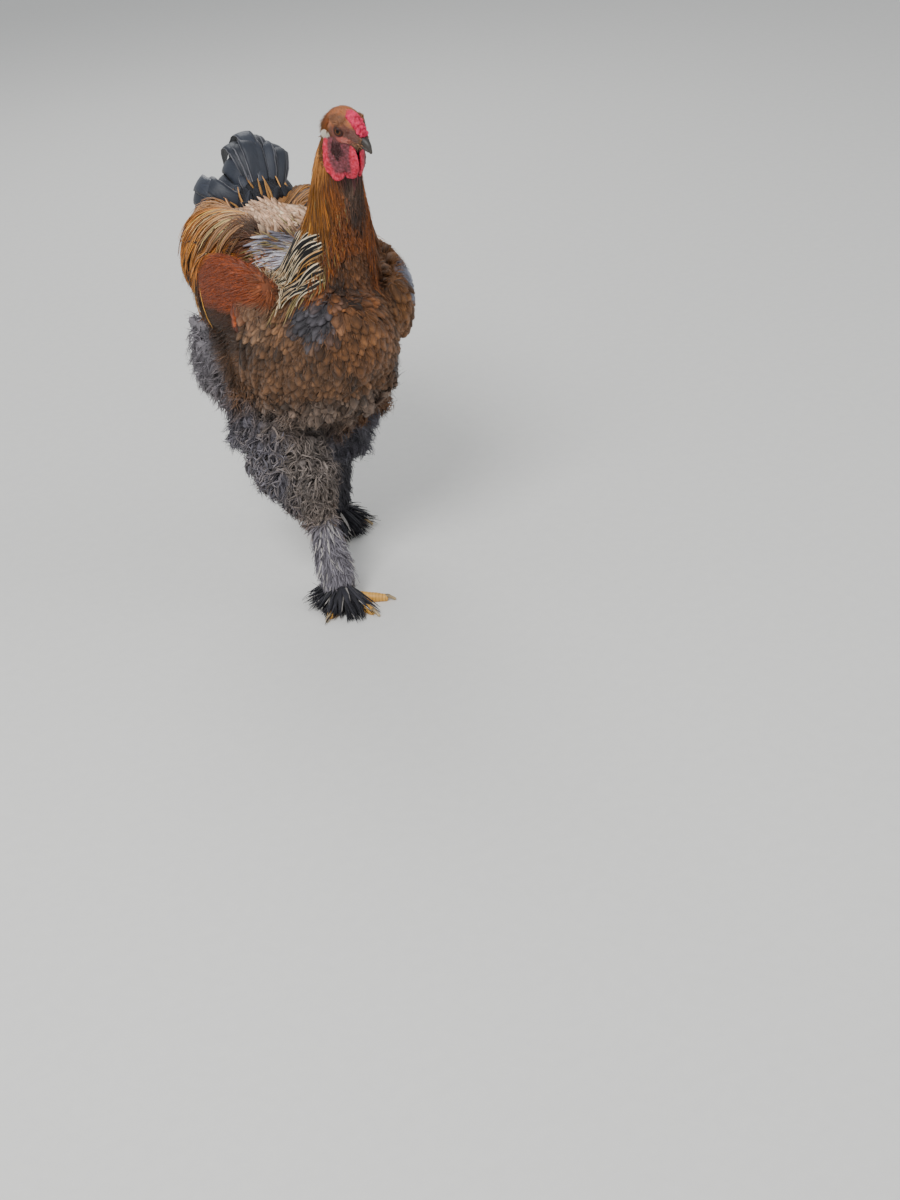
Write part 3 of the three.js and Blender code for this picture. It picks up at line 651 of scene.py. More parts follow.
PARTS = {
    "torso": TORSO,
    "fluff_left": FLUFF,
    "fluff_right": mirrored(FLUFF, -1),
    "neck": NECK,
    "tail": TAIL,
    **{f"thigh_{side}": sizes for side, sizes in THIGHS.items()},
    **{f"shank_{side}": sizes for side, sizes in SHANKS.items()},
    **{f"wing_{side}": sizes for side, sizes in WINGS.items()},
    **{f"saddle_{side}": sizes for side, sizes in SADDLES.items()},
}
SKIN_CELL = 5.5
flesh = [loft(name, **sizes) for name, sizes in PARTS.items()]
skin = melted(joined("skin", flesh), SKIN_CELL, 6)


def billowed(points):
    """How far the down swells the body out in soft lobes with creases between them, on the rump and thighs."""
    rear = smooth((points[:, 1] - 70) / 60) * smooth((440 - points[:, 2]) / 80)
    low = np.maximum(smooth((366 - points[:, 2]) / 70), rear) * smooth((points[:, 2] - 120) / 40)
    widest = smooth((np.abs(points[:, 0] - 4) - 108) / 30)
    lobes = np.abs(noise(points, 95, 41)) ** 0.7 * 15 + np.abs(noise(points, 46, 42)) * 13 - 8
    return low * lobes * (1 - 0.75 * widest)


set_points(skin, points_of(skin) + normals_of(skin) * billowed(points_of(skin))[:, None])

SKULL = {
    "spine": [on_head(0, -26, -10), on_head(0, -10, -1), on_head(0, 4, -1), on_head(0, 17, -5)],
    "wide": [17.5, 18.6, 15.8, 9.5],
    "high": [19.5, 22, 18.5, 11.5],
    "caps": (12, 5),
}
nape = [on_head(0, -22, -4), on_head(0, -26, -24), on_head(0, -24, -48), (22, -124, 622)]
throat = [on_head(0, 20, -13), on_head(0, 6, -22), on_head(0, -8, -38), (24, -134, 630)]
head_shapes = [
    loft("skull", **SKULL),
    loft("nape", nape, [15, 17, 20, 22], [15, 18, 22, 26], up=FORWARD),
    loft("throat", throat, [7, 10.5, 14, 18], [6, 9, 14, 18], up=FORWARD),
]
for out in SIDES.values():
    head_shapes += [
        loft("cheek", [on_head(out * 13, -8, -9), on_head(out * 12.5, 4, -9.5), on_head(out * 7, 15, -8)],
             [4.5, 4.6, 3.2], [7.5, 6.5, 4]),
        loft("brow", [on_head(out * 13.8, -11, 6.8), on_head(out * 16.8, -1, 8.4), on_head(out * 12, 13, 3.4)],
             [3.2, 4.2, 3], [2.6, 3.2, 2.4]),
        loft("lores", [on_head(out * 12, 6, 1), on_head(out * 8, 19, -2), on_head(out * 5, 30, -5)], [3.4, 2.6, 2.2],
             [6, 5.5, 4.4]),
        loft("jowl", [on_head(out * 12, -4, -13), below(on_head(out * 13.5, -4, -13), out * 2, 3, 14),
                      below(on_head(out * 12.5, -4, -13), 0, 5, 30)], [3, 2.4, 2], [9, 10, 6],
             up=unit(BACK * 0.78 + LEFTWARD * out * 0.62)),
        loft("gape", [on_head(out * 9, 6, -11), on_head(out * 6.5, 17, -12), on_head(out * 4, 26, -12)],
             [3.2, 2.6, 2], [3.6, 3, 2.2]),
    ]
head_skin = melted(joined("head_skin", head_shapes), 1.0, 4)
sockets = [ball("socket", on_head(out * (EYE["out"] + 0.3), 0, 0), (6.6, 6.3, 5.9)) for out in SIDES.values()]
for socket in sockets:
    applied(head_skin, "BOOLEAN", operation="DIFFERENCE", object=socket, solver="EXACT")
    bpy.data.objects.remove(socket)


def lid_ring(out):
    """Both lids of one eye as one ring: its inner edge lies on the eyeball, its outer skirt sinks into the face."""
    middle = on_head(out * EYE["out"], 0, 0)
    ahead = unit(LEFTWARD * out * 0.96 + FORWARD * 0.27 + CROWNWARD * 0.05)
    sideways = flat_on(FORWARD, ahead)
    upwards = flat_on(CROWNWARD, ahead)
    count = 56
    angle = np.arange(count) / count * 2 * np.pi
    opening = 39 + 8 * np.cos(2 * angle) - 8 * np.sin(angle) + 3 * np.cos(angle)
    section = [(6.02, 5), (6.25, 0), (6.75, 0), (7.15, 4), (7.1, 9), (7.45, 14), (7.3, 20), (7.55, 26), (7.1, 38), (5, 44)]
    rows = []
    for radius, more in section:
        lean = np.radians(opening + more)
        spot = middle + radius * (
            np.cos(lean)[:, None] * ahead
            + (np.sin(lean) * np.cos(angle))[:, None] * sideways
            + (np.sin(lean) * np.sin(angle))[:, None] * upwards
        )
        rows.append(spot)
    points = np.concatenate(rows)
    faces = []
    for row in range(len(section)):
        for i in range(count):
            a, b = row * count + i, row * count + (i + 1) % count
            after = ((row + 1) % len(section)) * count
            faces.append((a, b, after + (i + 1) % count, after + i))
    return outward(fresh("lids", points, faces))


lids = [lid_ring(out) for out in SIDES.values()]


def skin_unwrapped(piece):
    pick(piece)
    bpy.ops.object.mode_set(mode="EDIT")
    bpy.ops.mesh.select_all(action="SELECT")
    bpy.ops.uv.smart_project(angle_limit=math.radians(66), island_margin=0.002)
    bpy.ops.object.mode_set(mode="OBJECT")
    piece.data.uv_layers[0].name = "OFBake"


skin.data.uv_layers.new(name="OFBake")
skin_unwrapped(skin)


class Ground:
    """The skin's surface in the bird's frame, for roots, lie and places on its unwrap."""

    def __init__(self, piece):
        self.points = points_of(piece)
        self.polygons = [tuple(p.vertices) for p in piece.data.polygons]
        self.tree = BVHTree.FromPolygons(self.points.tolist(), self.polygons)
        self.centres = np.array([self.points[list(p)].mean(0) for p in self.polygons])
        self.areas = np.array([p.area for p in piece.data.polygons]) * 1e6
        uv = np.empty(len(piece.data.loops) * 2)
        piece.data.uv_layers["OFBake"].data.foreach_get("uv", uv)
        uv = uv.reshape(-1, 2)
        self.uv = [uv[p.loop_start:p.loop_start + p.loop_total] for p in piece.data.polygons]

    def nearest(self, places):
        found = [self.tree.find_nearest(Vector(p)) for p in places]
        at = np.array([f[0][:] for f in found])
        normal = np.array([f[1][:] for f in found])
        return at, normal, np.array([f[2] for f in found])

    def unwrap(self, places, index):
        result = np.empty((len(places), 2))
        for i, (place, face) in enumerate(zip(places, index)):
            corners = self.points[list(self.polygons[face])]
            weight = 1 / (np.linalg.norm(corners - place, axis=1) + 0.05)
            result[i] = (self.uv[face] * weight[:, None]).sum(0) / weight.sum()
        return result


ground = Ground(skin)


def owner_of(points):
    """The body part whose section lies nearest to each place."""
    best = np.full(len(points), np.inf)
    names = np.empty(len(points), object)
    for name, sizes in PARTS.items():
        shares = np.linspace(0, 1, 40)
        middle = spline(sizes["spine"], shares)
        size = spline(np.stack([sizes["wide"], sizes["high"]], 1).astype(float), shares).mean(1)
        for s, r in zip(middle, size):
            away = np.linalg.norm(points - s, axis=1) / r
            closer = away < best
            best[closer] = away[closer]
            names[closer] = name
    return names


owners = owner_of(ground.centres)


def roots_in(where, count, spacing):
    """Random places on the skin where `where` says, at least `spacing` apart, as even as plumage is."""
    chosen = where(ground.centres, owners)
    weight = ground.areas * chosen
    faces = draw.choice(len(weight), size=int(count * 2.2), p=weight / weight.sum())
    corners = [ground.points[list(ground.polygons[f])] for f in faces]
    mix = draw.dirichlet((1, 1, 1), len(faces))
    places = np.array([c[:3].T @ m if draw.random() < 0.5 or len(c) < 4 else c[[0, 2, 3]].T @ m
                       for c, m in zip(corners, mix)])
    taken, kept = {}, []
    for i, p in enumerate(places):
        cell = tuple((p // spacing).astype(int))
        near = [taken.get((cell[0] + a, cell[1] + b, cell[2] + c)) for a in (-1, 0, 1) for b in (-1, 0, 1)
                for c in (-1, 0, 1)] if spacing > 0.5 else []
        if any(q is not None and ((q - p) ** 2).sum() < spacing ** 2 for q in near):
            continue
        taken[cell] = p
        kept.append(i)
        if len(kept) >= count:
            break
    return places[kept]


# Feathers

def laid(roots, heading, length, steps=5, stand=1.5, lift=6.0, give=2.5, curl=0.0, rise=1.6, toward=None):
    """The midline of each feather: sunk in at its root, it keeps to the skin along its heading, goes on over
    hollows, and lifts towards its tip. `toward` is the heading that it has turned to by its tip."""
    first = heading
    at, face, index = ground.nearest(roots)
    uv = ground.unwrap(at, index)
    way = flat_on(heading, face)
    ground_at = at.copy()
    line, up = [at - face * 1.2], [face.copy()]
    bendy = draw.normal(0, 1, len(at))[:, None] * curl
    for i in range(1, steps + 1):
        if toward is not None:
            heading = first + (toward - first) * i / steps
        ahead = ground_at + way * (length / steps)[:, None]
        near, normal, _ = ground.nearest(ahead)
        drop = ((ahead - near) * face).sum(1)
        free = (drop > give)[:, None]
        ground_at = np.where(free, ahead - face * give, near)
        face = unit(np.where(free, face * 0.75 + normal * 0.25, face * 0.35 + normal * 0.65))
        way = flat_on(way * 0.7 + heading * 0.3 + np.cross(face, way) * bendy, face)
        share = i / steps
        height = stand + (np.asarray(lift) - stand) * share ** rise
        line.append(ground_at + face * np.reshape(height, (-1, 1)))
        up.append(face.copy())
    return np.stack(line, 1), np.stack(up, 1), uv


def vanes(name, line, up, uv, width, profile, material, slot, edge, heart, across=(-1, 0, 1), dome=0.14,
          thick=0.5, ragged=0.0, twist=0.0):
    """Closed thin vanes along their midlines, joined into pieces of fewer than the limit of triangles."""
    count, rows, _ = line.shape
    shares = spline(np.array(profile, float)[:, None], np.linspace(0, 1, rows))[:, 0]
    along = unit(np.gradient(line, axis=1))
    if np.any(twist):
        up = up + np.cross(along, up) * np.reshape(twist, (-1, 1, 1))
    side = unit(np.cross(along, up))
    rise = np.cross(side, along)
    half = np.reshape(width, (-1, 1)) / 2 * np.maximum(shares, 0.03)
    half = half * (1 + ragged * draw.normal(0, 1, half.shape))
    top = len(across)
    spots = []
    for a in across:
        lift = dome * (1 - a * a) * 2 * half + (thick if abs(a) < 1 else 0)
        spots.append(line + side * (half * a)[..., None] + rise * lift[..., None])
    spots.append(line - rise * (thick * 0.4))
    grid = np.stack(spots, 2)
    ring = top + 1
    points = grid.reshape(count, rows * ring, 3)
    points[..., 2] = np.maximum(points[..., 2], 0.35)
    faces = []
    for r in range(rows - 1):
        for c in range(ring):
            a, b = r * ring + c, r * ring + (c + 1) % ring
            faces.append((a, a + ring, b + ring, b))
    faces.append(tuple(range(ring)))
    faces.append(tuple(reversed(range((rows - 1) * ring, rows * ring))))
    place_across = np.tile(np.r_[np.array(across, float), 0.0], (rows, 1)).ravel()
    place_along = np.repeat(np.linspace(0, 1, rows), ring)
    tone = draw.random(count)
    lie = np.empty((count, rows * ring, 3))
    lie[..., 0], lie[..., 1], lie[..., 2] = place_across, place_along, tone[:, None]
    patch = np.stack([place_across * 0.0015, (place_along - 0.5) * 0.003], 1)
    spread_uv = uv[:, None] + patch[None]
    each = sum(len(f) - 2 for f in faces)
    per = max(1, 190000 // each)
    pieces = []
    for start in range(0, count, per):
        chunk = slice(start, min(start + per, count))
        number = chunk.stop - chunk.start
        label = name if count <= per else f"{name}_{start // per + 1}"
        piece = array_mesh(label, points[chunk].reshape(-1, 3), faces, number, rows * ring, spread_uv[chunk])
        put(piece, "vane", "FLOAT_VECTOR", lie[chunk])
        for title, colours in (("edge", edge), ("heart", heart)):
            put(piece, title, "FLOAT_COLOR", np.repeat(with_alpha(colours[chunk]), rows * ring, 0))
        dress(piece, material, slot)
        pieces.append(piece)
    return pieces


def array_mesh(name, points, faces, number, stride, uv):
    """Many copies of one face pattern as one mesh, written straight from arrays."""
    mesh = bpy.data.meshes.new(name)
    totals = np.array([len(f) for f in faces])
    pattern = np.concatenate([np.array(f) for f in faces])
    loops = (pattern[None] + np.arange(number)[:, None] * stride).ravel()
    all_totals = np.tile(totals, number)
    starts = np.r_[0, np.cumsum(all_totals)[:-1]]
    mesh.vertices.add(len(points))
    mesh.vertices.foreach_set("co", metres(points).astype(np.float32).ravel())
    mesh.loops.add(len(loops))
    mesh.loops.foreach_set("vertex_index", loops.astype(np.int32))
    mesh.polygons.add(len(starts))
    mesh.polygons.foreach_set("loop_start", starts.astype(np.int32))
    mesh.polygons.foreach_set("use_smooth", np.ones(len(starts), bool))
    mesh.update(calc_edges=True)
    layer = mesh.uv_layers.new(name="OFBake")
    layer.data.foreach_set("uv", uv.reshape(-1, 2)[loops].astype(np.float32).ravel())
    piece = bpy.data.objects.new(name, mesh)
    bpy.context.scene.collection.objects.link(piece)
    return piece


def tinted(colours, spread, seed_noise=None):
    """Each feather a little lighter or darker than its neighbours."""
    return np.clip(colours * np.exp(draw.normal(0, spread, (len(colours), 1))), 0, 1)


LANCE = [0.5, 0.95, 1, 0.8, 0.42, 0.05]
LEAF = [0.45, 0.85, 1, 0.95, 0.7, 0.18]
ROUND = [0.4, 0.8, 1, 1, 0.85, 0.35]
WISP = [1, 0.8, 0.45, 0.05]
SICKLE = [0.3, 0.75, 0.95, 1, 1, 0.97, 0.85, 0.55, 0.16]

FINISH = {
    "hackle": plumage("hackle_feather", heart=(0.15, 0.55), tip=(0.75, 0.98), barbs=(30, 7), streak=0.3),
    "saddle": plumage("saddle_feather", heart=(0.22, 0.66), tip=(0.8, 0.98), barbs=(30, 7), streak=0.3),
    "cape": plumage("cape_feather", heart=(0.5, 0.62), tip=(0.88, 0.99), barbs=(30, 4), streak=0.15),
    "scale": plumage("back_feather", rough=0.7, heart=(0.3, 0.9), tip=(0.3, 0.75), barbs=(22, 6), streak=0.2),
    "breast": plumage("breast_feather", rough=0.7, heart=(0.5, 0.95), tip=(0.55, 0.95), barbs=(22, 6), streak=0.28),
    "wing": plumage("wing_feather", rough=0.6, heart=(0.3, 0.85), tip=(0.6, 0.95), barbs=(26, 9), streak=0.38),
    "tail": plumage("tail_feather", rough=0.46, heart=(0.84, 0.97), tip=(2, 3), barbs=(90, 7), streak=0.34, gloss=0.35),
    "down": plumage("down_tuft", rough=0.85, heart=(0.3, 0.9), tip=(0.4, 1), barbs=(9, 4), streak=0.2, sheen=0.15, gloss=0.1),
    "foot": plumage("foot_feather", rough=0.6, heart=(0.3, 0.8), tip=(2, 3), barbs=(30, 6), streak=0.3),
}


def flow(points, toward):
    return np.tile(np.asarray(toward, float), (len(points), 1))


def neck_share(points):
    return smooth((points[:, 2] - 470) / 190)


def is_in(names, *kinds):
    return np.isin(names.astype(str), [n for kind in kinds for n in PARTS if n.startswith(kind)])


def crease_shade(points):
    """Painted shade in the seams between the lobes of down, 0 in a seam and 1 on a lobe."""
    return 0.45 + 0.55 * smooth(np.abs(noise(points, 46, 42)) / 0.2)


# Down: soft grey tufts over the rump, the fluff and the thighs, swirled into locks.
def in_down(p, names):
    top = 308 + 96 * smooth((p[:, 1] + 40) / 60) + 66 * smooth((p[:, 1] - 118) / 40)
    low_rear = is_in(names, "torso", "tail", "saddle") & (p[:, 1] > -84) & (p[:, 2] < top)
    return low_rear | is_in(names, "fluff", "thigh")


def swirl(points, scale, seed):
    return np.stack([noise(points, scale, seed + i) for i in range(3)], 1)


roots = roots_in(in_down, 17200, 0)
heading = flow(roots, (0, 0.3, -1)) + swirl(roots, 60, 50) * 0.9 + draw.normal(0, 0.2, roots.shape)
size = draw.uniform(16, 30, len(roots))
line, up, uv = laid(roots, heading, size, steps=3, stand=3, lift=draw.uniform(8, 18, len(roots)), curl=0.25, give=4)
# The down's colour is darkened by painted shade in the seams between its lobes.
shade = tinted(markings(roots), 0.14) * (crease_shade(roots) * (1 + 0.3 * noise(roots, 80, 57)))[:, None]
vanes("down", line, up, uv, draw.uniform(1.5, 3.1, len(roots)), WISP, FINISH["down"], "fluff_feather",
      shade * 1.15, shade * 0.9, across=(-1, 1), dome=0.1, thick=0.3)

# Leg tufts: small soft feathers with cream tips that lie over the down of the near leg.
roots = roots_in(lambda p, names: is_in(names, "thigh_right") & (p[:, 2] < 268) & (p[:, 1] < 0), 1400, 2.4)
heading = flow(roots, (0, 0, -1)) + swirl(roots, 50, 60) * 1.0 + draw.normal(0, 0.25, roots.shape)
line, up, uv = laid(roots, heading, draw.uniform(12, 20, len(roots)), lift=draw.uniform(7, 14, len(roots)), curl=0.3)
shade = tinted(blend(markings(roots), linear("#a4968b"), draw.uniform(0, 0.5, len(roots))), 0.12)
# Painted shade in the seams between the down's lobes darkens the tufts too.
shade = shade * crease_shade(roots)[:, None]
vanes("leg_tuft", line + up * 2, up, uv, draw.uniform(2.2, 4.4, len(roots)), LEAF, FINISH["down"], "fluff_feather",
      shade, shade * 0.7, dome=0.1, thick=0.2, ragged=0.2)


# Breast and belly: small rounded feathers, each darker at its base, frayed by loose barbs.
def in_breast(p, names):
    flank = (p[:, 0] < -60) & (p[:, 1] > -30)
    return is_in(names, "torso") & ~in_down(p, names) & (p[:, 1] < 40) & ~flank


def in_front(p, names):
    bib = is_in(names, "neck") & (p[:, 2] < 606) & ahead_on_neck(p)
    elbow = is_in(names, "wing_right") & (p[:, 1] < -28) & (p[:, 2] < 456)
    return in_breast(p, names) | bib | elbow | is_in(names, "wing_left") & (p[:, 1] < 40)


def ahead_on_neck(points):
    """Whether a place on the neck belongs to its front, which narrows upwards."""
    middle = spline(NECK["spine"], np.clip((points[:, 2] - 436) / 228, 0, 1))
    away = points - middle
    return away[:, 1] < -np.abs(away[:, 0] - 4) * (0.5 + 1.5 * neck_share(points))


def frill(name, where, count, toward, length, width, lift, finish, slot, tone=0.2, bright=1.15, scatter=0.22):
    """Loose barbs over a stretch of feathers, so that their edges run together as soft plumage does."""
    roots = roots_in(where, count, 0)
    heading = flow(roots, toward) + roots * (0.004, 0, 0) + draw.normal(0, scatter, roots.shape)
    line, up, uv = laid(roots, heading, draw.uniform(*length, len(roots)), steps=3, stand=lift[0],
                        lift=draw.uniform(*lift, len(roots)), curl=0.08, give=2)
    shade = tinted(markings(roots) * bright, tone)
    vanes(name, line, up, uv, draw.uniform(*width, len(roots)), WISP, finish, slot, shade, shade * 0.8,
          across=(-1, 1), dome=0.1, thick=0.2)


roots = roots_in(in_front, 3400, 5.2)
heading = flow(roots, (0, 0.3, -1)) + roots * (0.004, 0, 0) + draw.normal(0, 0.12, roots.shape)
small = 1 - 0.42 * smooth((roots[:, 2] - 455) / 60)
line, up, uv = laid(roots, heading, draw.uniform(22, 34, len(roots)) * small,
                    lift=draw.uniform(3, 8, len(roots)) * small, give=2)
fleck = (draw.random(len(roots)) < 0.12)[:, None]
patchy = np.exp(0.3 * noise(roots, 46, 90))[:, None]
shade = tinted(markings(roots) * patchy, 0.16) * np.where(fleck, 0.45, 1)
vanes("breast", line, up, uv, draw.uniform(12, 18, len(roots)) * small, ROUND, FINISH["breast"], "body_feather",
      shade, shade * 0.5, dome=0.08, thick=0.3, ragged=0.08)
frill("breast_barbs", in_front, 7200, (0, 0.3, -1), (9, 17), (0.9, 1.9), (4, 9.5), FINISH["down"], "body_feather")


# Wing bow, bar and the tips of the flights.
def in_wing(p, names):
    shoulder = is_in(names, "torso", "saddle", "neck") & (p[:, 0] < -30) & (p[:, 1] > -60) & (p[:, 1] < 72)
    flank = is_in(names, "torso") & (p[:, 0] < -60) & (p[:, 1] > -30) & (p[:, 1] < 72) & ~in_down(p, names)
    return (is_in(names, "wing") | shoulder & (p[:, 2] > 452) | flank) & ~in_front(p, names)


roots = roots_in(in_wing, 3200, 3.3)
heading = flow(roots, (0, 1, -0.5)) + swirl(roots, 70, 95) * 0.12 + draw.normal(0, 0.05, roots.shape)
back_share = smooth((roots[:, 1] + 60) / 170) * is_in(owner_of(roots), "wing")
length = 22 + 26 * back_share * draw.uniform(0.8, 1.1, len(roots))
line, up, uv = laid(roots, heading, length, lift=draw.uniform(2, 4.2, len(roots)), give=3)
shade = tinted(markings(roots) * np.exp(0.3 * noise(roots, 26, 96))[:, None], 0.2)
vanes("wing", line, up, uv, draw.uniform(4.5, 7.5, len(roots)), LEAF, FINISH["wing"], "wing_feather",
      shade, shade * 0.7, dome=0.04, thick=0.2, ragged=0.1)
frill("wing_barbs", in_wing, 5400, (0, 1, -0.5), (20, 34), (0.7, 1.5), (3.4, 5.8), FINISH["down"], "wing_feather",
      tone=0.3, bright=1.2, scatter=0.08)


# Back between the shoulders and up to the tail: short pale feathers, dark at heart, laid like small scales.
def in_patch(p, names):
    near = (p[:, 0] < 16) & (p[:, 0] > -30) & (p[:, 1] > -40) & (p[:, 1] < 42)
    return near & (p[:, 2] > 468) & is_in(names, "torso", "neck", "saddle")


def in_back(p, names):
    top = is_in(names, "torso", "saddle") & (p[:, 2] > 452) & (np.abs(p[:, 0] - 10) < 62)
    return top & (p[:, 1] > -52) & (p[:, 1] < 176) & ~in_saddle(p, names) & ~in_patch(p, names) & ~in_wing(p, names)


# Saddle: long narrow hackles that pour over the flanks, black along the shaft.
def in_saddle(p, names):
    flank = np.abs(p[:, 0] - 10) > 24 + 0.22 * np.maximum(120 - p[:, 1], 0)
    rear_top = is_in(names, "torso") & (p[:, 2] > 440) & (p[:, 1] > 60)
    return (is_in(names, "saddle") | rear_top) & flank & ((p[:, 1] > 62) | (p[:, 0] > 10) & (p[:, 1] > 36))


roots = roots_in(in_back, 1300, 3.4)
heading = flow(roots, (-0.25, 1, 0)) + draw.normal(0, 0.12, roots.shape)
line, up, uv = laid(roots, heading, draw.uniform(15, 24, len(roots)), lift=draw.uniform(4, 8, len(roots)))
shade = tinted(blend(markings(roots), linear("#e9c8aa"), draw.uniform(0, 0.7, len(roots))), 0.2)
vanes("back", line, up, uv, draw.uniform(7, 10, len(roots)), LEAF, FINISH["scale"], "body_feather",
      shade, shade * 0.3, dome=0.08, thick=0.25, ragged=0.08)

roots = roots_in(in_saddle, 2300, 3.7)
side = np.sign(roots[:, 0] - 10)
rear = smooth((roots[:, 1] - 80) / 90)
heading = np.stack([side * 0.85, 0.05 + 0.4 * rear, np.full(len(roots), -0.5)], 1)
heading += draw.normal(0, 0.09, heading.shape)
fall = np.stack([side * 0.2, -0.12 + 0.4 * rear, np.full(len(roots), -1.0)], 1)
low_rows = 1 - 0.45 * smooth((470 - roots[:, 2]) / 40)
line, up, uv = laid(roots, heading, draw.uniform(70, 122, len(roots)) * low_rows, steps=7, lift=draw.uniform(6, 12, len(roots)),
                    give=11, toward=fall)
high_rows = smooth((roots[:, 2] - 484) / 24)
buff = blend(markings(roots), linear("#eaa252"), np.maximum(draw.uniform(0, 1, len(roots)) ** 3, 0.35 * high_rows))
shade = tinted(buff * np.exp(0.3 * noise(roots, 30, 98))[:, None], 0.3)
inky = draw.random(len(roots)) < 0.14 + 0.45 * smooth((np.abs(roots[:, 0] - 10) - 78) / 30)
shade = np.where(inky[:, None], blend(shade, linear("#2c211b"), np.full(len(roots), 0.85)), shade)
vanes("saddle", line, up, uv, draw.uniform(4.5, 8, len(roots)), LANCE, FINISH["saddle"], "hackle_feather",
      shade, blend(np.tile(linear("#191310"), (len(roots), 1)), shade * 0.2, high_rows), dome=0.1, thick=0.3)

# Shoulder patch: long soft silver-lavender feathers that fan from the neck's foot over the near shoulder.
roots = roots_in(in_patch, 620, 3)
heading = flow(roots, (-0.75, 0.5, -0.35)) + swirl(roots, 40, 97) * 0.15 + draw.normal(0, 0.06, roots.shape)
line, up, uv = laid(roots, heading, draw.uniform(24, 42, len(roots)), lift=draw.uniform(3.5, 6.5, len(roots)), give=4)
dusk = smooth((roots[:, 0] + 26) / 24) * smooth((roots[:, 1] + 8) / 24)
silver = blend(np.tile(linear("#8c8894"), (len(roots), 1)), linear("#e2dde2"), draw.random(len(roots)) ** 2)
shade = tinted(blend(silver, linear("#55525b"), dusk * 0.9), 0.15)
vanes("shoulder_patch", line + up * 2, up, uv, draw.uniform(4, 8, len(roots)), LEAF, FINISH["wing"],
      "body_feather", np.minimum(shade * 1.3, 0.85), shade * 0.85, dome=0.05, thick=0.2, ragged=0.12)


# Neck hackle: long narrow feathers from crown to shoulders, longest low down, gold with a dark heart.
def in_neck(p, names):
    return is_in(names, "neck") & (p[:, 2] > 486) & ~(ahead_on_neck(p) & (p[:, 2] < 590))


roots = roots_in(in_neck, 3800, 2.2)
neck_middle = spline(NECK["spine"], np.clip((roots[:, 2] - 436) / 228, 0, 1))
away = unit((roots - neck_middle) * (1, 1, 0))
low = 1 - neck_share(roots)
heading = away * (0.1 + 0.25 * low[:, None]) + flow(roots, (0, 0, -1)) + draw.normal(0, 0.05, roots.shape)
front = smooth((-away[:, 1] - 0.2) / 0.6)
length = (40 + 58 * low * draw.uniform(0.75, 1.1, len(roots))) * (1 - 0.6 * front * low)
line, up, uv = laid(roots, heading, length, lift=draw.uniform(3, 5 + 6 * low, len(roots)), give=5)
lock = np.exp(0.5 * noise(roots * (1, 1, 0.25), 16, 80))[:, None]
shade = tinted(markings(roots) * 1.15 * lock, 0.34)
olive = (draw.random(len(roots)) < 0.35 * low * (away[:, 0] < 0.2))[:, None]
shade = np.where(olive, blend(shade, linear("#b8a468"), np.full(len(roots), 0.75)), shade)
heart = blend(shade * 0.3, linear("#15100d"), smooth((low - 0.15) / 0.35))
vanes("hackle", line, up, uv, 2.8 + 3.6 * low + draw.uniform(-0.6, 0.9, len(roots)), LANCE, FINISH["hackle"],
      "hackle_feather", shade, heart, dome=0.08, thick=0.22)

# Cape: the boldest hackles, black with cream and gold edges, that sweep from the neck over the near shoulder.
roots = roots_in(lambda p, names: is_in(names, "neck", "torso") & (p[:, 0] < -2) & (p[:, 0] > -44) & (p[:, 2] > 478)
                 & (p[:, 2] < 540) & (p[:, 1] < -40), 120, 3.8)
heading = flow(roots, (-0.95, 0.5, -0.5)) + draw.normal(0, 0.07, roots.shape)
curled = flow(roots, (0.25, -0.55, -1)) + draw.normal(0, 0.12, roots.shape)
line, up, uv = laid(roots, heading, draw.uniform(62, 92, len(roots)), steps=8, lift=draw.uniform(8, 12, len(roots)),
                    give=4, toward=curled)
cream = blend(np.tile(linear("#f0dfbd"), (len(roots), 1)), linear("#c8924e"), draw.uniform(0, 1, len(roots)) ** 1.6)
vanes("cape", line + up * 3.5, up, uv, draw.uniform(7.5, 10.5, len(roots)), LANCE, FINISH["cape"], "hackle_feather",
      cream, np.tile(linear("#0e0e0f"), (len(roots), 1)), across=(-1, -0.5, 0, 0.5, 1), dome=0.1, thick=0.3)

# Far shoulder: dark brown hackles that fall from the neck over the left shoulder.
roots = roots_in(lambda p, names: is_in(names, "neck", "torso") & (p[:, 0] > 58) & (p[:, 2] > 480) & (p[:, 2] < 560),
                 150, 4.4)
heading = flow(roots, (0.75, 0.1, -0.8)) + draw.normal(0, 0.08, roots.shape)
line, up, uv = laid(roots, heading, draw.uniform(60, 84, len(roots)), steps=6, lift=draw.uniform(8, 16, len(roots)),
                    give=2)
shade = tinted(np.tile(linear("#6e4526"), (len(roots), 1)), 0.25)
vanes("far_cape", line, up, uv, draw.uniform(8, 12, len(roots)), LANCE, FINISH["hackle"], "hackle_feather",
      shade, shade * 0.35, dome=0.12, thick=0.4)


# Head feathers: very short and close, orange-brown over the crown and brow, dusky on cheek and throat.
head_points, head_normals = points_of(head_skin), normals_of(head_skin)


def head_frame(points):
    local = points - np.array(HEAD["at"])
    return local @ LEFTWARD, local @ FORWARD, local @ CROWNWARD


def head_feathers(name, where, count, length, width, lift, heading, finish, slot, bright=1.0):
    a, b, c = head_frame(head_points)
    inside = np.flatnonzero(where(np.abs(a), b, c))
    index = draw.choice(inside, min(count, len(inside)), replace=False)
    roots, face = head_points[index], head_normals[index]
    way = flat_on(heading + draw.normal(0, 0.22, roots.shape), face)
    size = draw.uniform(*length, len(roots))[:, None]
    shares = (0, 0.5, 1)
    line = np.stack([roots + way * size * s + face * (lift * s ** 1.3 - 0.5 * (s == 0)) for s in shares], 1)
    up = np.repeat(face[:, None], 3, 1)
    _, _, near = ground.nearest(roots)
    shade = tinted(markings(roots) * bright, 0.16)
    vanes(name, line, up, ground.unwrap(roots, near), draw.uniform(*width, len(roots)), [0.8, 1, 0.1], finish,
          slot, shade, shade * 0.75, across=(-1, 1), dome=0.12, thick=0.2)


def eye_zone(b, c, size=1.0):
    return np.hypot((b - 0.5) / (10.5 * size), (c + 0.5) / (8.5 * size)) < 1


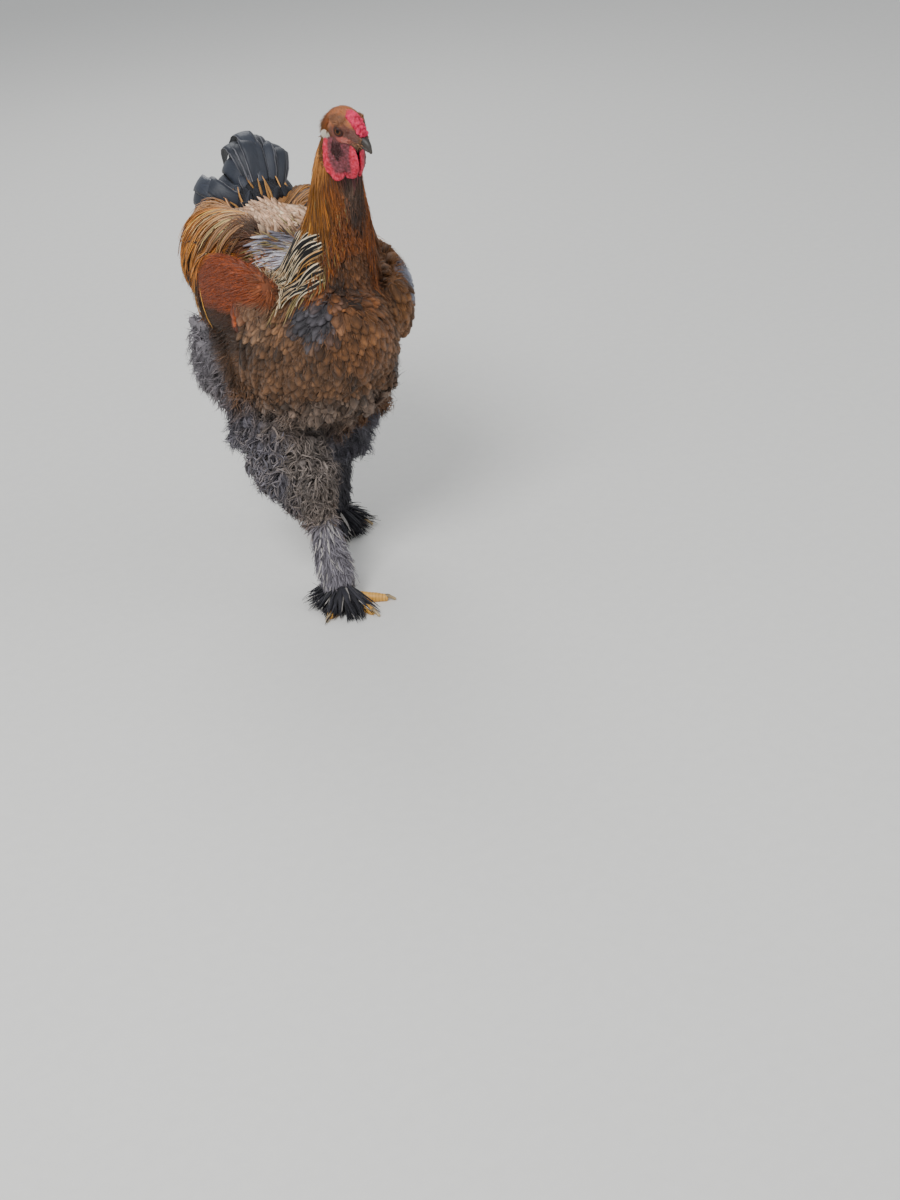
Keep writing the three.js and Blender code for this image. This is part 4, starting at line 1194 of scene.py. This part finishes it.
def bare_folds(a, b, c):
    return (a > 8) & (b > -12) & (b < 17) & (c < -5.5) & (c > -13)


def crown_area(a, b, c):
    return ~eye_zone(b, c) & ~bare_folds(a, b, c) & (c > -14) & (b < 33)


head_feathers("crown", crown_area, 8600, (2.2, 3.8), (0.5, 1.0), 0.5, -FORWARD * 0.9 - CROWNWARD * 0.25,
              FINISH["down"], "hackle_feather", 1.2)
head_feathers("crown_top", lambda a, b, c: (c > 9) & (b < 6), 1500, (4.5, 7.5), (0.9, 1.5), 2.2,
              -FORWARD - CROWNWARD * 0.1, FINISH["down"], "hackle_feather", 1.2)
head_feathers("nape", lambda a, b, c: (b < -16) & (c < -10) | (b < -20), 2600, (10, 18), (1.1, 2), 1.8,
              -FORWARD * 0.4 - UP, FINISH["hackle"], "hackle_feather", 1.1)
head_feathers("throat", lambda a, b, c: (c < -14) & (b > -18), 3600, (3.5, 8), (0.8, 1.5), 1.2,
              -UP + FORWARD * 0.1, FINISH["down"], "body_feather", 1.05)
head_feathers("bristles", lambda a, b, c: (a > 4) & (b > 4) & (b < 31) & (c < -8) & (c > -13), 300, (4, 7.5),
              (0.3, 0.55), 1.1, FORWARD * 0.8 + CROWNWARD * 0.1, FINISH["down"], "hackle_feather", 4)


# Tail: feathers that rise from the root, arch over and fall, most in one column and some swept low to each side.
TAIL_TIERS = [
    {"count": 4, "from": -52, "to": -22, "out": -8, "rise": 96, "run": 120, "stop": 0.86, "width": 25},
    {"count": 7, "from": -7, "to": 29, "out": 1, "rise": 113, "run": 130, "stop": 1.0, "width": 27},
    {"count": 6, "from": -88, "to": -50, "out": 0, "rise": 118, "run": 128, "stop": 0.98, "width": 27},
    {"count": 5, "from": 50, "to": 86, "out": 0, "rise": 94, "run": 114, "stop": 0.9, "width": 23},
    {"count": 6, "from": -8, "to": 26, "out": 9, "rise": 101, "run": 118, "stop": 0.72, "width": 25},
    {"count": 6, "from": -82, "to": -46, "out": 10, "rise": 100, "run": 116, "stop": 0.74, "width": 25},
    {"count": 14, "from": -84, "to": 80, "out": 14, "rise": 68, "run": 84, "stop": 0.5, "width": 18},
]


def tail_arc(tier, lean, over, share):
    away = np.array([math.sin(lean), 0, math.cos(lean)])
    rise = tier["rise"] - 34 * abs(math.sin(lean))
    up = rise * np.sin(np.pi * 0.86 * share ** 0.8) + (tier["out"] + over) * np.minimum(1, share * 2.5)
    run = tier["run"] * share ** 1.35 - tier["out"] * 0.8
    return TAIL_ROOT + up[:, None] * away + run[:, None] * BACK, away


lines, ups, widths = [], [], []
TAIL_STEPS = 22
for tier in TAIL_TIERS:
    for i, lean in enumerate(np.linspace(tier["from"], tier["to"], tier["count"])):
        lean = math.radians(lean + draw.normal(0, 2))
        shares = np.linspace(0, tier["stop"] * draw.uniform(0.9, 1.0), TAIL_STEPS + 1)
        arc, away = tail_arc(tier, lean, (i % 2) * 3.2 + draw.uniform(-1.5, 1.5), shares)
        along = unit(np.gradient(arc, axis=0))
        tilt = draw.normal(0, 0.2)
        flat = unit(np.cross(np.cross(BACK, away), along))
        lines.append(arc)
        ups.append(flat + np.cross(along, flat) * tilt)
        widths.append(tier["width"] * draw.uniform(0.85, 1.1))
line, up = np.stack(lines), np.stack(ups)
_, _, near = ground.nearest(line[:, 1])
uv = ground.unwrap(line[:, 1], near)
dark = tinted(np.tile(linear("#2a2e37"), (len(line), 1)), 0.25)
vanes("tail", line, up, uv, np.array(widths), SICKLE, FINISH["tail"], "tail_feather",
      np.tile(linear("#8b8b92"), (len(line), 1)), dark, across=(-1, -0.6, -0.2, 0, 0.2, 0.6, 1), dome=0.05, thick=0.5,
      ragged=0.03)

# Tail lights: a few small golden feathers that stand up before the tail, and coverts that close its root.
roots = roots_in(lambda p, names: is_in(names, "tail", "torso", "saddle") & (p[:, 1] > 152)
                 & (p[:, 2] > 494) & (np.abs(p[:, 0] - 22) < 44), 170, 4)
heading = flow(roots, (-0.15, 0.9, 0.35)) + draw.normal(0, 0.22, roots.shape)
gold = draw.random(len(roots)) < 0.2
line, up, uv = laid(roots, heading, draw.uniform(24, 36, len(roots)), steps=5, lift=5 + 9 * gold, give=2, curl=0.15)
shade = tinted(np.where(gold[:, None], linear("#d29a58"), linear("#2c2e35")), 0.2)
vanes("tail_covert", line, up, uv, np.where(gold, 3.6, draw.uniform(8, 12, len(roots))), LEAF, FINISH["saddle"],
      "tail_feather", shade, shade * 0.5, dome=0.1, thick=0.3)


# Shanks: narrow grey feathers that hang round each leg, some white, and the feet's dark fans.
def in_shank(p, names):
    return is_in(names, "shank")


roots = roots_in(in_shank, 2000, 2.0)
heading = flow(roots, (0, -0.1, -1)) + swirl(roots, 30, 70) * 0.35 + draw.normal(0, 0.16, roots.shape)
line, up, uv = laid(roots, heading, draw.uniform(18, 38, len(roots)), steps=4, lift=draw.uniform(5, 12, len(roots)),
                    curl=0.12, give=3)
pale = (draw.random(len(roots)) < 0.12)[:, None] & (roots[:, :1] < 0)
shade = np.where(pale, linear("#d2ccc8"), tinted(markings(roots), 0.3))
vanes("shank", line, up, uv, draw.uniform(1.8, 4.4, len(roots)), LANCE, FINISH["foot"], "fluff_feather",
      shade, shade * 0.7, dome=0.1, thick=0.3, ragged=0.08)


def foot_fan(side, count):
    """Roots low on the shank and out along the outer toes; tips fan forwards and outwards to the floor."""
    ankle = np.array(FEET[side]["ankle"], float)
    lock = draw.integers(0, 22, count)
    angle = np.radians((np.linspace(-22, 126, 22) + draw.normal(0, 2.5, 22))[lock] + draw.normal(0, 3, count))
    way = np.stack([np.sin(angle) * SIDES[side], -np.cos(angle), np.zeros(count)], 1)
    reach = draw.uniform(46, 68, 22)[lock] * draw.uniform(0.7, 1.05, count) * (1 - 0.22 * np.sin(angle) ** 2)
    high = draw.uniform(12, 36, count)
    shares = np.linspace(0, 1, 7)[None, :, None]
    root = ankle * (1, 1, 0) + way * draw.uniform(2, 12, count)[:, None] + high[:, None] * UP
    tip = root + way * reach[:, None] - UP * (high - draw.uniform(1, 9, count))[:, None]
    knee = (root + tip) / 2 + UP * draw.uniform(2, 11, count)[:, None]
    line = root[:, None] * (1 - shares) ** 2 + 2 * knee[:, None] * shares * (1 - shares) + tip[:, None] * shares ** 2
    sway = np.cross(way, UP) * (draw.normal(0, 8, 22)[lock] + draw.normal(0, 3, count))[:, None]
    line = line + sway[:, None] * shares ** 2
    up = unit(np.repeat((way * 0.45 + UP)[:, None], 7, 1) + draw.normal(0, 0.25, (count, 1, 3)))
    _, _, near = ground.nearest(root)
    uv = ground.unwrap(root, near)
    pale = (draw.random(count) < 0.1)[:, None]
    shade = np.where(pale, linear("#d5cfc9"), tinted(np.tile(linear("#2b2a30"), (count, 1)), 0.35))
    vanes(f"foot_fan_{side}", line, up, uv, draw.uniform(3.5, 8, count), LANCE, FINISH["foot"], "fluff_feather",
          shade, shade * 0.6, dome=0.12, thick=0.3, ragged=0.1)


for side in SIDES:
    foot_fan(side, 340)


# Comb, wattles, ear lobes, beak and eyes

COMB = {"rows": (-5.4, 0, 5.4), "bumps": 8, "from": -4, "to": 30}
bumps = [loft("comb_bed", [on_head(0, -12, 16.5), on_head(0, 6, 16), on_head(0, 28, 2.5)], [6, 8.5, 4.5], [4.5, 6, 4],
              caps=(5, 4))]
for a in COMB["rows"]:
    for i in range(COMB["bumps"]):
        t = i / (COMB["bumps"] - 1)
        bulge = (0.72 + 0.36 * math.sin(math.pi * t)) * draw.uniform(0.85, 1.12)
        rise = (2 if a == 0 else 0) + 17.5 + (4 - 17.5) * t ** 1.7
        bumps.append(ball("bump", on_head(a * bulge, COMB["from"] + (COMB["to"] - COMB["from"]) * t, rise),
                          (3.3 * bulge, 2.9 * bulge, 5.2 * bulge), 8))
comb = melted(joined("comb_flesh", bumps), 0.55, 1)
grain = noise(points_of(comb), 2.4, 5) * 0.6
set_points(comb, points_of(comb) + normals_of(comb) * grain[:, None])
red = bare_skin("comb_red", ("#b00a35", "#ff3f72"), grain=1.5, depth=0.8, rough=0.5)
dress(comb, red, "red_skin", "comb")


def fold(name, spine, wide, high, out, bright, seed, waves):
    """A hanging fold of bare skin, turned to the front: a thick bright rim round a thinner dusky middle. `bright`
    is 1 where its rear edge is the rim and -1 where its front edge is."""
    facing = unit(BACK * 0.78 + LEFTWARD * out * 0.62)
    piece = loft(name, spine, wide, high, up=facing, caps=(3, 5), sides=30, rings=26,
                 swell=lambda angle, share: 0.6 + 0.4 * np.abs(np.sin(angle)))
    piece = melted(piece, 0.8, 2)
    points = points_of(piece)
    share = np.clip((spine[0][2] - points[:, 2]) / (spine[0][2] - spine[-1][2]), 0, 1)
    beside = ((points - spline(spine, share)) @ facing) / spline(np.array(high, float)[:, None], share)[:, 0]
    rim = smooth((beside * bright - 0.05) / 0.4)
    low = smooth((share - 0.82) / 0.16)
    bloom = smooth(noise(points, 8, seed + 3) * 0.5 + 0.5)
    red = blend(np.tile(linear("#ad0f28"), (len(points), 1)), linear("#de3a58"), bloom)
    dusk = blend(np.tile(linear("#5a2a2c"), (len(points), 1)), linear("#83404a"), bloom)
    put(piece, "marking", "FLOAT_COLOR", with_alpha(blend(dusk, red, np.maximum(rim, low * 0.8))))
    pleat = np.sin((points[:, 1] + points[:, 2] * 0.5) / waves) * 0.5 + noise(points, 7, seed) * 0.8
    rough = noise(points, 2.6, seed + 1) * 0.25
    set_points(piece, points + LEFTWARD * pleat[:, None] + normals_of(piece) * rough[:, None])
    return piece


pink = bare_skin("wattle_red", None, grain=1.1, depth=0.35, rough=0.55)
for side, out in SIDES.items():
    jaw = on_head(out * 9, 10, -15)
    wattle = fold(f"wattle_flesh_{side}",
                  [jaw, below(jaw, out * 2, 1, 15), below(jaw, out, 0, 30), below(jaw, -out, -3, 41)],
                  [3.2, 3.4, 4, 3], [9, 13, 13, 8], out, -1, 21 + out, 3.1)
    dress(wattle, pink, "red_skin", f"wattle_{side}")
    ear = on_head(out * 18, -17, -17)
    lobe = fold(f"earlobe_flesh_{side}",
                [ear, below(ear, out * 2, 4, 15), below(ear, out, 9, 32), below(ear, -out * 2, 14, 46)],
                [3.4, 3.8, 4.2, 3], [7.5, 11, 13, 9], out, 1, 31 + out, 3.6)
    dress(lobe, pink, "red_skin", f"earlobe_{side}")


def horn_loft(name, spine, wide, high, **more):
    piece = loft(name, spine, wide, high, **more)
    share = np.linspace(0, 1, len(piece.data.vertices))
    put(piece, "along", "FLOAT", share)
    return piece


beak_horn = horn("beak_horn", "#100e0d", "#38322b", rough=0.5)
upper = horn_loft("beak_top", [on_head(0, 13, -3.5), on_head(0, 27, -4.5), on_head(0, 38, -7.5), on_head(0, 45, -14)],
                  [7.5, 6.2, 4.3, 1.5], [7, 6.2, 4.8, 2.4], caps=(3, 2.5))
for out in SIDES.values():
    hole = ball("nostril", on_head(out * 7.2, 26, -3.2), (1.6, 2.7, 1.1), 10)
    applied(upper, "BOOLEAN", operation="DIFFERENCE", object=hole, solver="EXACT")
    bpy.data.objects.remove(hole)
dress(upper, beak_horn, "horn", "beak_upper")
lower = horn_loft("beak_under", [on_head(0, 13, -12), on_head(0, 26, -12), on_head(0, 34, -13), on_head(0, 40, -14.6)],
                  [6.4, 5.2, 3.7, 1.5], [4.2, 3.6, 2.7, 1.5], caps=(3, 2))
dress(lower, beak_horn, "horn", "beak_lower")

wet = eyeball()
for side, out in SIDES.items():
    eye = ball(f"eyeball_{side}", on_head(out * EYE["out"], 0, 0), (EYE["size"],) * 3, 24)
    look = unit(LEFTWARD * out * 0.88 + FORWARD * 0.46 + CROWNWARD * 0.1)
    facing = unit(points_of(eye) - on_head(out * EYE["out"], 0, 0)) @ look
    put(eye, "iris", "FLOAT", np.arccos(np.clip(facing, -1, 1)) / math.radians(58))
    dress(eye, wet, "eyeball", f"eye_{side}")

# Ear tufts: a dense oval puff of cream bristles over each ear, combed back and down.
for side, out in SIDES.items():
    count = 1200
    radius, turn_by = 5.2 * np.sqrt(draw.random(count)), draw.uniform(0, 2 * np.pi, count)
    along_head, up_head = radius * np.cos(turn_by), radius * 0.8 * np.sin(turn_by)
    bulge = 2.8 * (1 - (radius / 5.2) ** 2)
    root = (on_head(out * 17.5, -23, -12.5) + along_head[:, None] * FORWARD + up_head[:, None] * CROWNWARD
            + (bulge * out)[:, None] * LEFTWARD)
    way = unit(LEFTWARD * out * 0.8 - FORWARD * 0.55 - UP * 0.35 + draw.normal(0, 0.28, (count, 3))
               + along_head[:, None] * FORWARD * 0.13 + up_head[:, None] * CROWNWARD * 0.13)
    shares = np.linspace(0, 1, 3)[None, :, None]
    line = root[:, None] + way[:, None] * shares * draw.uniform(2.4, 4.4, (count, 1, 1)) - UP * shares ** 2 * 0.8
    up = np.repeat(unit(np.cross(way, UP))[:, None], 3, 1)
    _, _, near = ground.nearest(root)
    cream = tinted(np.tile(linear("#efe6d6"), (count, 1)), 0.08)
    vanes(f"ear_puff_{side}", line, up, ground.unwrap(root, near), draw.uniform(0.5, 0.9, count), WISP,
          FINISH["down"], "ear_down", cream, cream * 0.85, dome=0.1, thick=0.2)
    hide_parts(f"ear_tuft_{side}")


# Toes and claws

scutes = scaled_skin("toe_scutes")
claw_horn = horn("claw_horn", "#4b3d2c", "#b59e76")


def toe(side, name, end):
    ankle = np.array(FEET[side]["ankle"], float)
    tip = np.array([*end, TOE["tip"]], float)
    stop = tip - unit(tip - ankle) * TOE["claw"]

    def along(t, z):
        return [ankle[0] + (stop[0] - ankle[0]) * t, ankle[1] + (stop[1] - ankle[1]) * t, z]

    def plated(angle, share):
        step = (share * 13) % 1
        return 1 + 0.055 * np.maximum(np.sin(angle), 0) * (step - 0.5) + 0.03 * np.sin(share * 19)

    piece = loft(f"toe_{side}_{name}", [along(0, 7.6), along(0.35, 7.2), along(0.7, 5.9), along(1, 4.5)],
                 [TOE["root"], 7.5, 6.8, 5.4], [TOE["root"], 8.6, 7.2, 5.6], sides=22, rings=66, round_rings=4,
                 swell=plated)
    points = points_of(piece)
    share = ((points - ankle) @ unit((stop - ankle) * (1, 1, 0))) / np.linalg.norm((stop - ankle)[:2])
    groove = np.abs(((share * 13) % 1) - 0.5) * 2
    points[:, 2] = np.maximum(points[:, 2], 0)
    set_points(piece, points)
    put(piece, "groove", "FLOAT", groove ** 3)
    return piece


def claw(side, name, end):
    ankle = np.array(FEET[side]["ankle"], float)
    tip = np.array([*end, 2.2], float)
    way = unit((tip - ankle) * (1, 1, 0))

    def along(back, z):
        return [*(tip[:2] - way[:2] * back), z]

    piece = horn_loft(f"nail_{side}_{name}",
                      [along(TOE["claw"] + 3, 6.4), along(TOE["claw"] - 3, 7.4), along(5, 5.4), along(0, 2.4)],
                      [3.2, 3, 2.2, 0.9], [3.4, 3.2, 2.3, 1], sides=16, rings=18)
    points = points_of(piece)
    points[:, 2] = np.maximum(points[:, 2], 0)
    set_points(piece, points)
    return dress(piece, claw_horn, "claw_horn", f"claw_{side}_{name}")


for side, foot in FEET.items():
    toes = [toe(side, name, end) for name, end in foot["toes"].items()]
    pad = loft(f"pad_{side}", [np.add(foot["ankle"], (0, 0, -10)), foot["ankle"], np.add(foot["ankle"], (0, 0, 9))],
               [13, 15, 12], [13, 15, 12], up=BACK, sides=22, rings=8)
    points = points_of(pad)
    points[:, 2] = np.maximum(points[:, 2], 0)
    set_points(pad, points)
    put(pad, "groove", "FLOAT", np.zeros(len(points)))
    dress(joined(f"toes_{side}", toes + [pad]), scutes, "toe_skin", f"foot_{side}")
    for name, end in foot["toes"].items():
        claw(side, name, end)

# The skin's markings and finish
put(skin, "marking", "FLOAT_COLOR", with_alpha(markings(points_of(skin)) * 0.8))
dress(skin, hide_finish(), "body_feather", "torso", "neck", "tail", "thigh_left", "thigh_right", "shank_left",
      "shank_right", "wing_left", "wing_right", "saddle_left", "saddle_right")
head_skin = joined("face", [head_skin, *lids])
put(head_skin, "marking", "FLOAT_COLOR", with_alpha(markings(points_of(head_skin))))
face_red = bare_skin("face_skin", None, grain=1.1, depth=0.35, rough=0.55, weight=0.12)
dress(head_skin, face_red, "face_skin", "head")

# Studio: a pale floor, a pale sky and soft lights

bpy.ops.object.select_all(action="DESELECT")
bpy.ops.mesh.primitive_plane_add(size=16, location=(0, 0, 0))
floor = bpy.context.active_object
floor.name = "floor"
paper, tree, out = finish_of("matte_paper")
grain = add(tree, "TexNoise", {"Vector": add(tree, "TexCoord").outputs["Object"], "Scale": 60.0}).outputs["Fac"]
tone = add(tree, "Mix", {0: grain, 6: rgba("#d9d8d4"), 7: rgba("#e0dfdb")}, data_type="RGBA").outputs[2]
surface = add(tree, "BsdfPrincipled", {"Base Color": tone, "Roughness": 0.9})
tree.links.new(surface.outputs[0], out.inputs["Surface"])
floor.data.materials.append(paper)

world = bpy.data.worlds.new("studio_sky")
bpy.context.scene.world = world
world.use_nodes = True
world.node_tree.nodes["Background"].inputs["Color"].default_value = (0.93, 0.96, 1.0, 1)
world.node_tree.nodes["Background"].inputs["Strength"].default_value = 0.62


def softbox(name, at, size, power, target=(0, 0, 0.35)):
    lamp = bpy.data.lights.new(name, "AREA")
    lamp.shape, lamp.size, lamp.energy = "DISK", size, power
    box = bpy.data.objects.new(name, lamp)
    box.location = at
    box.rotation_euler = (Vector(target) - Vector(at)).to_track_quat("-Z", "Y").to_euler()
    bpy.context.scene.collection.objects.link(box)


softbox("key", (-1.6, -1.6, 2.8), 1.4, 92)
softbox("fill", (2.4, -1.8, 1.6), 2.2, 18)
softbox("rim", (0.6, 2.4, 2.4), 1.6, 34)

# The camera stands to the bird's right and above, tilted as the photograph was taken.
CAMERA = {"at": (-855.9, -2221.5, 1290), "down": 30, "turn": 25, "roll": 5, "lens": 54}
down, turn, roll = (math.radians(CAMERA[key]) for key in ("down", "turn", "roll"))
level = np.array([math.sin(turn), math.cos(turn), 0])
beside = np.array([math.cos(turn), -math.sin(turn), 0])
ahead = math.cos(down) * level - math.sin(down) * UP
under = -math.sin(down) * level - math.cos(down) * UP
right = beside * math.cos(roll) + under * math.sin(roll)
lower_side = under * math.cos(roll) - beside * math.sin(roll)
camera = bpy.data.objects.new("camera", bpy.data.cameras.new("camera"))
camera.data.lens = CAMERA["lens"]
camera.data.clip_start, camera.data.clip_end = 0.05, 60
pose = Matrix(np.stack([right, -lower_side, -ahead], 1).tolist()).to_4x4()
pose.translation = metres(CAMERA["at"]).tolist()
camera.matrix_world = pose
bpy.context.scene.collection.objects.link(camera)
bpy.context.scene.camera = camera
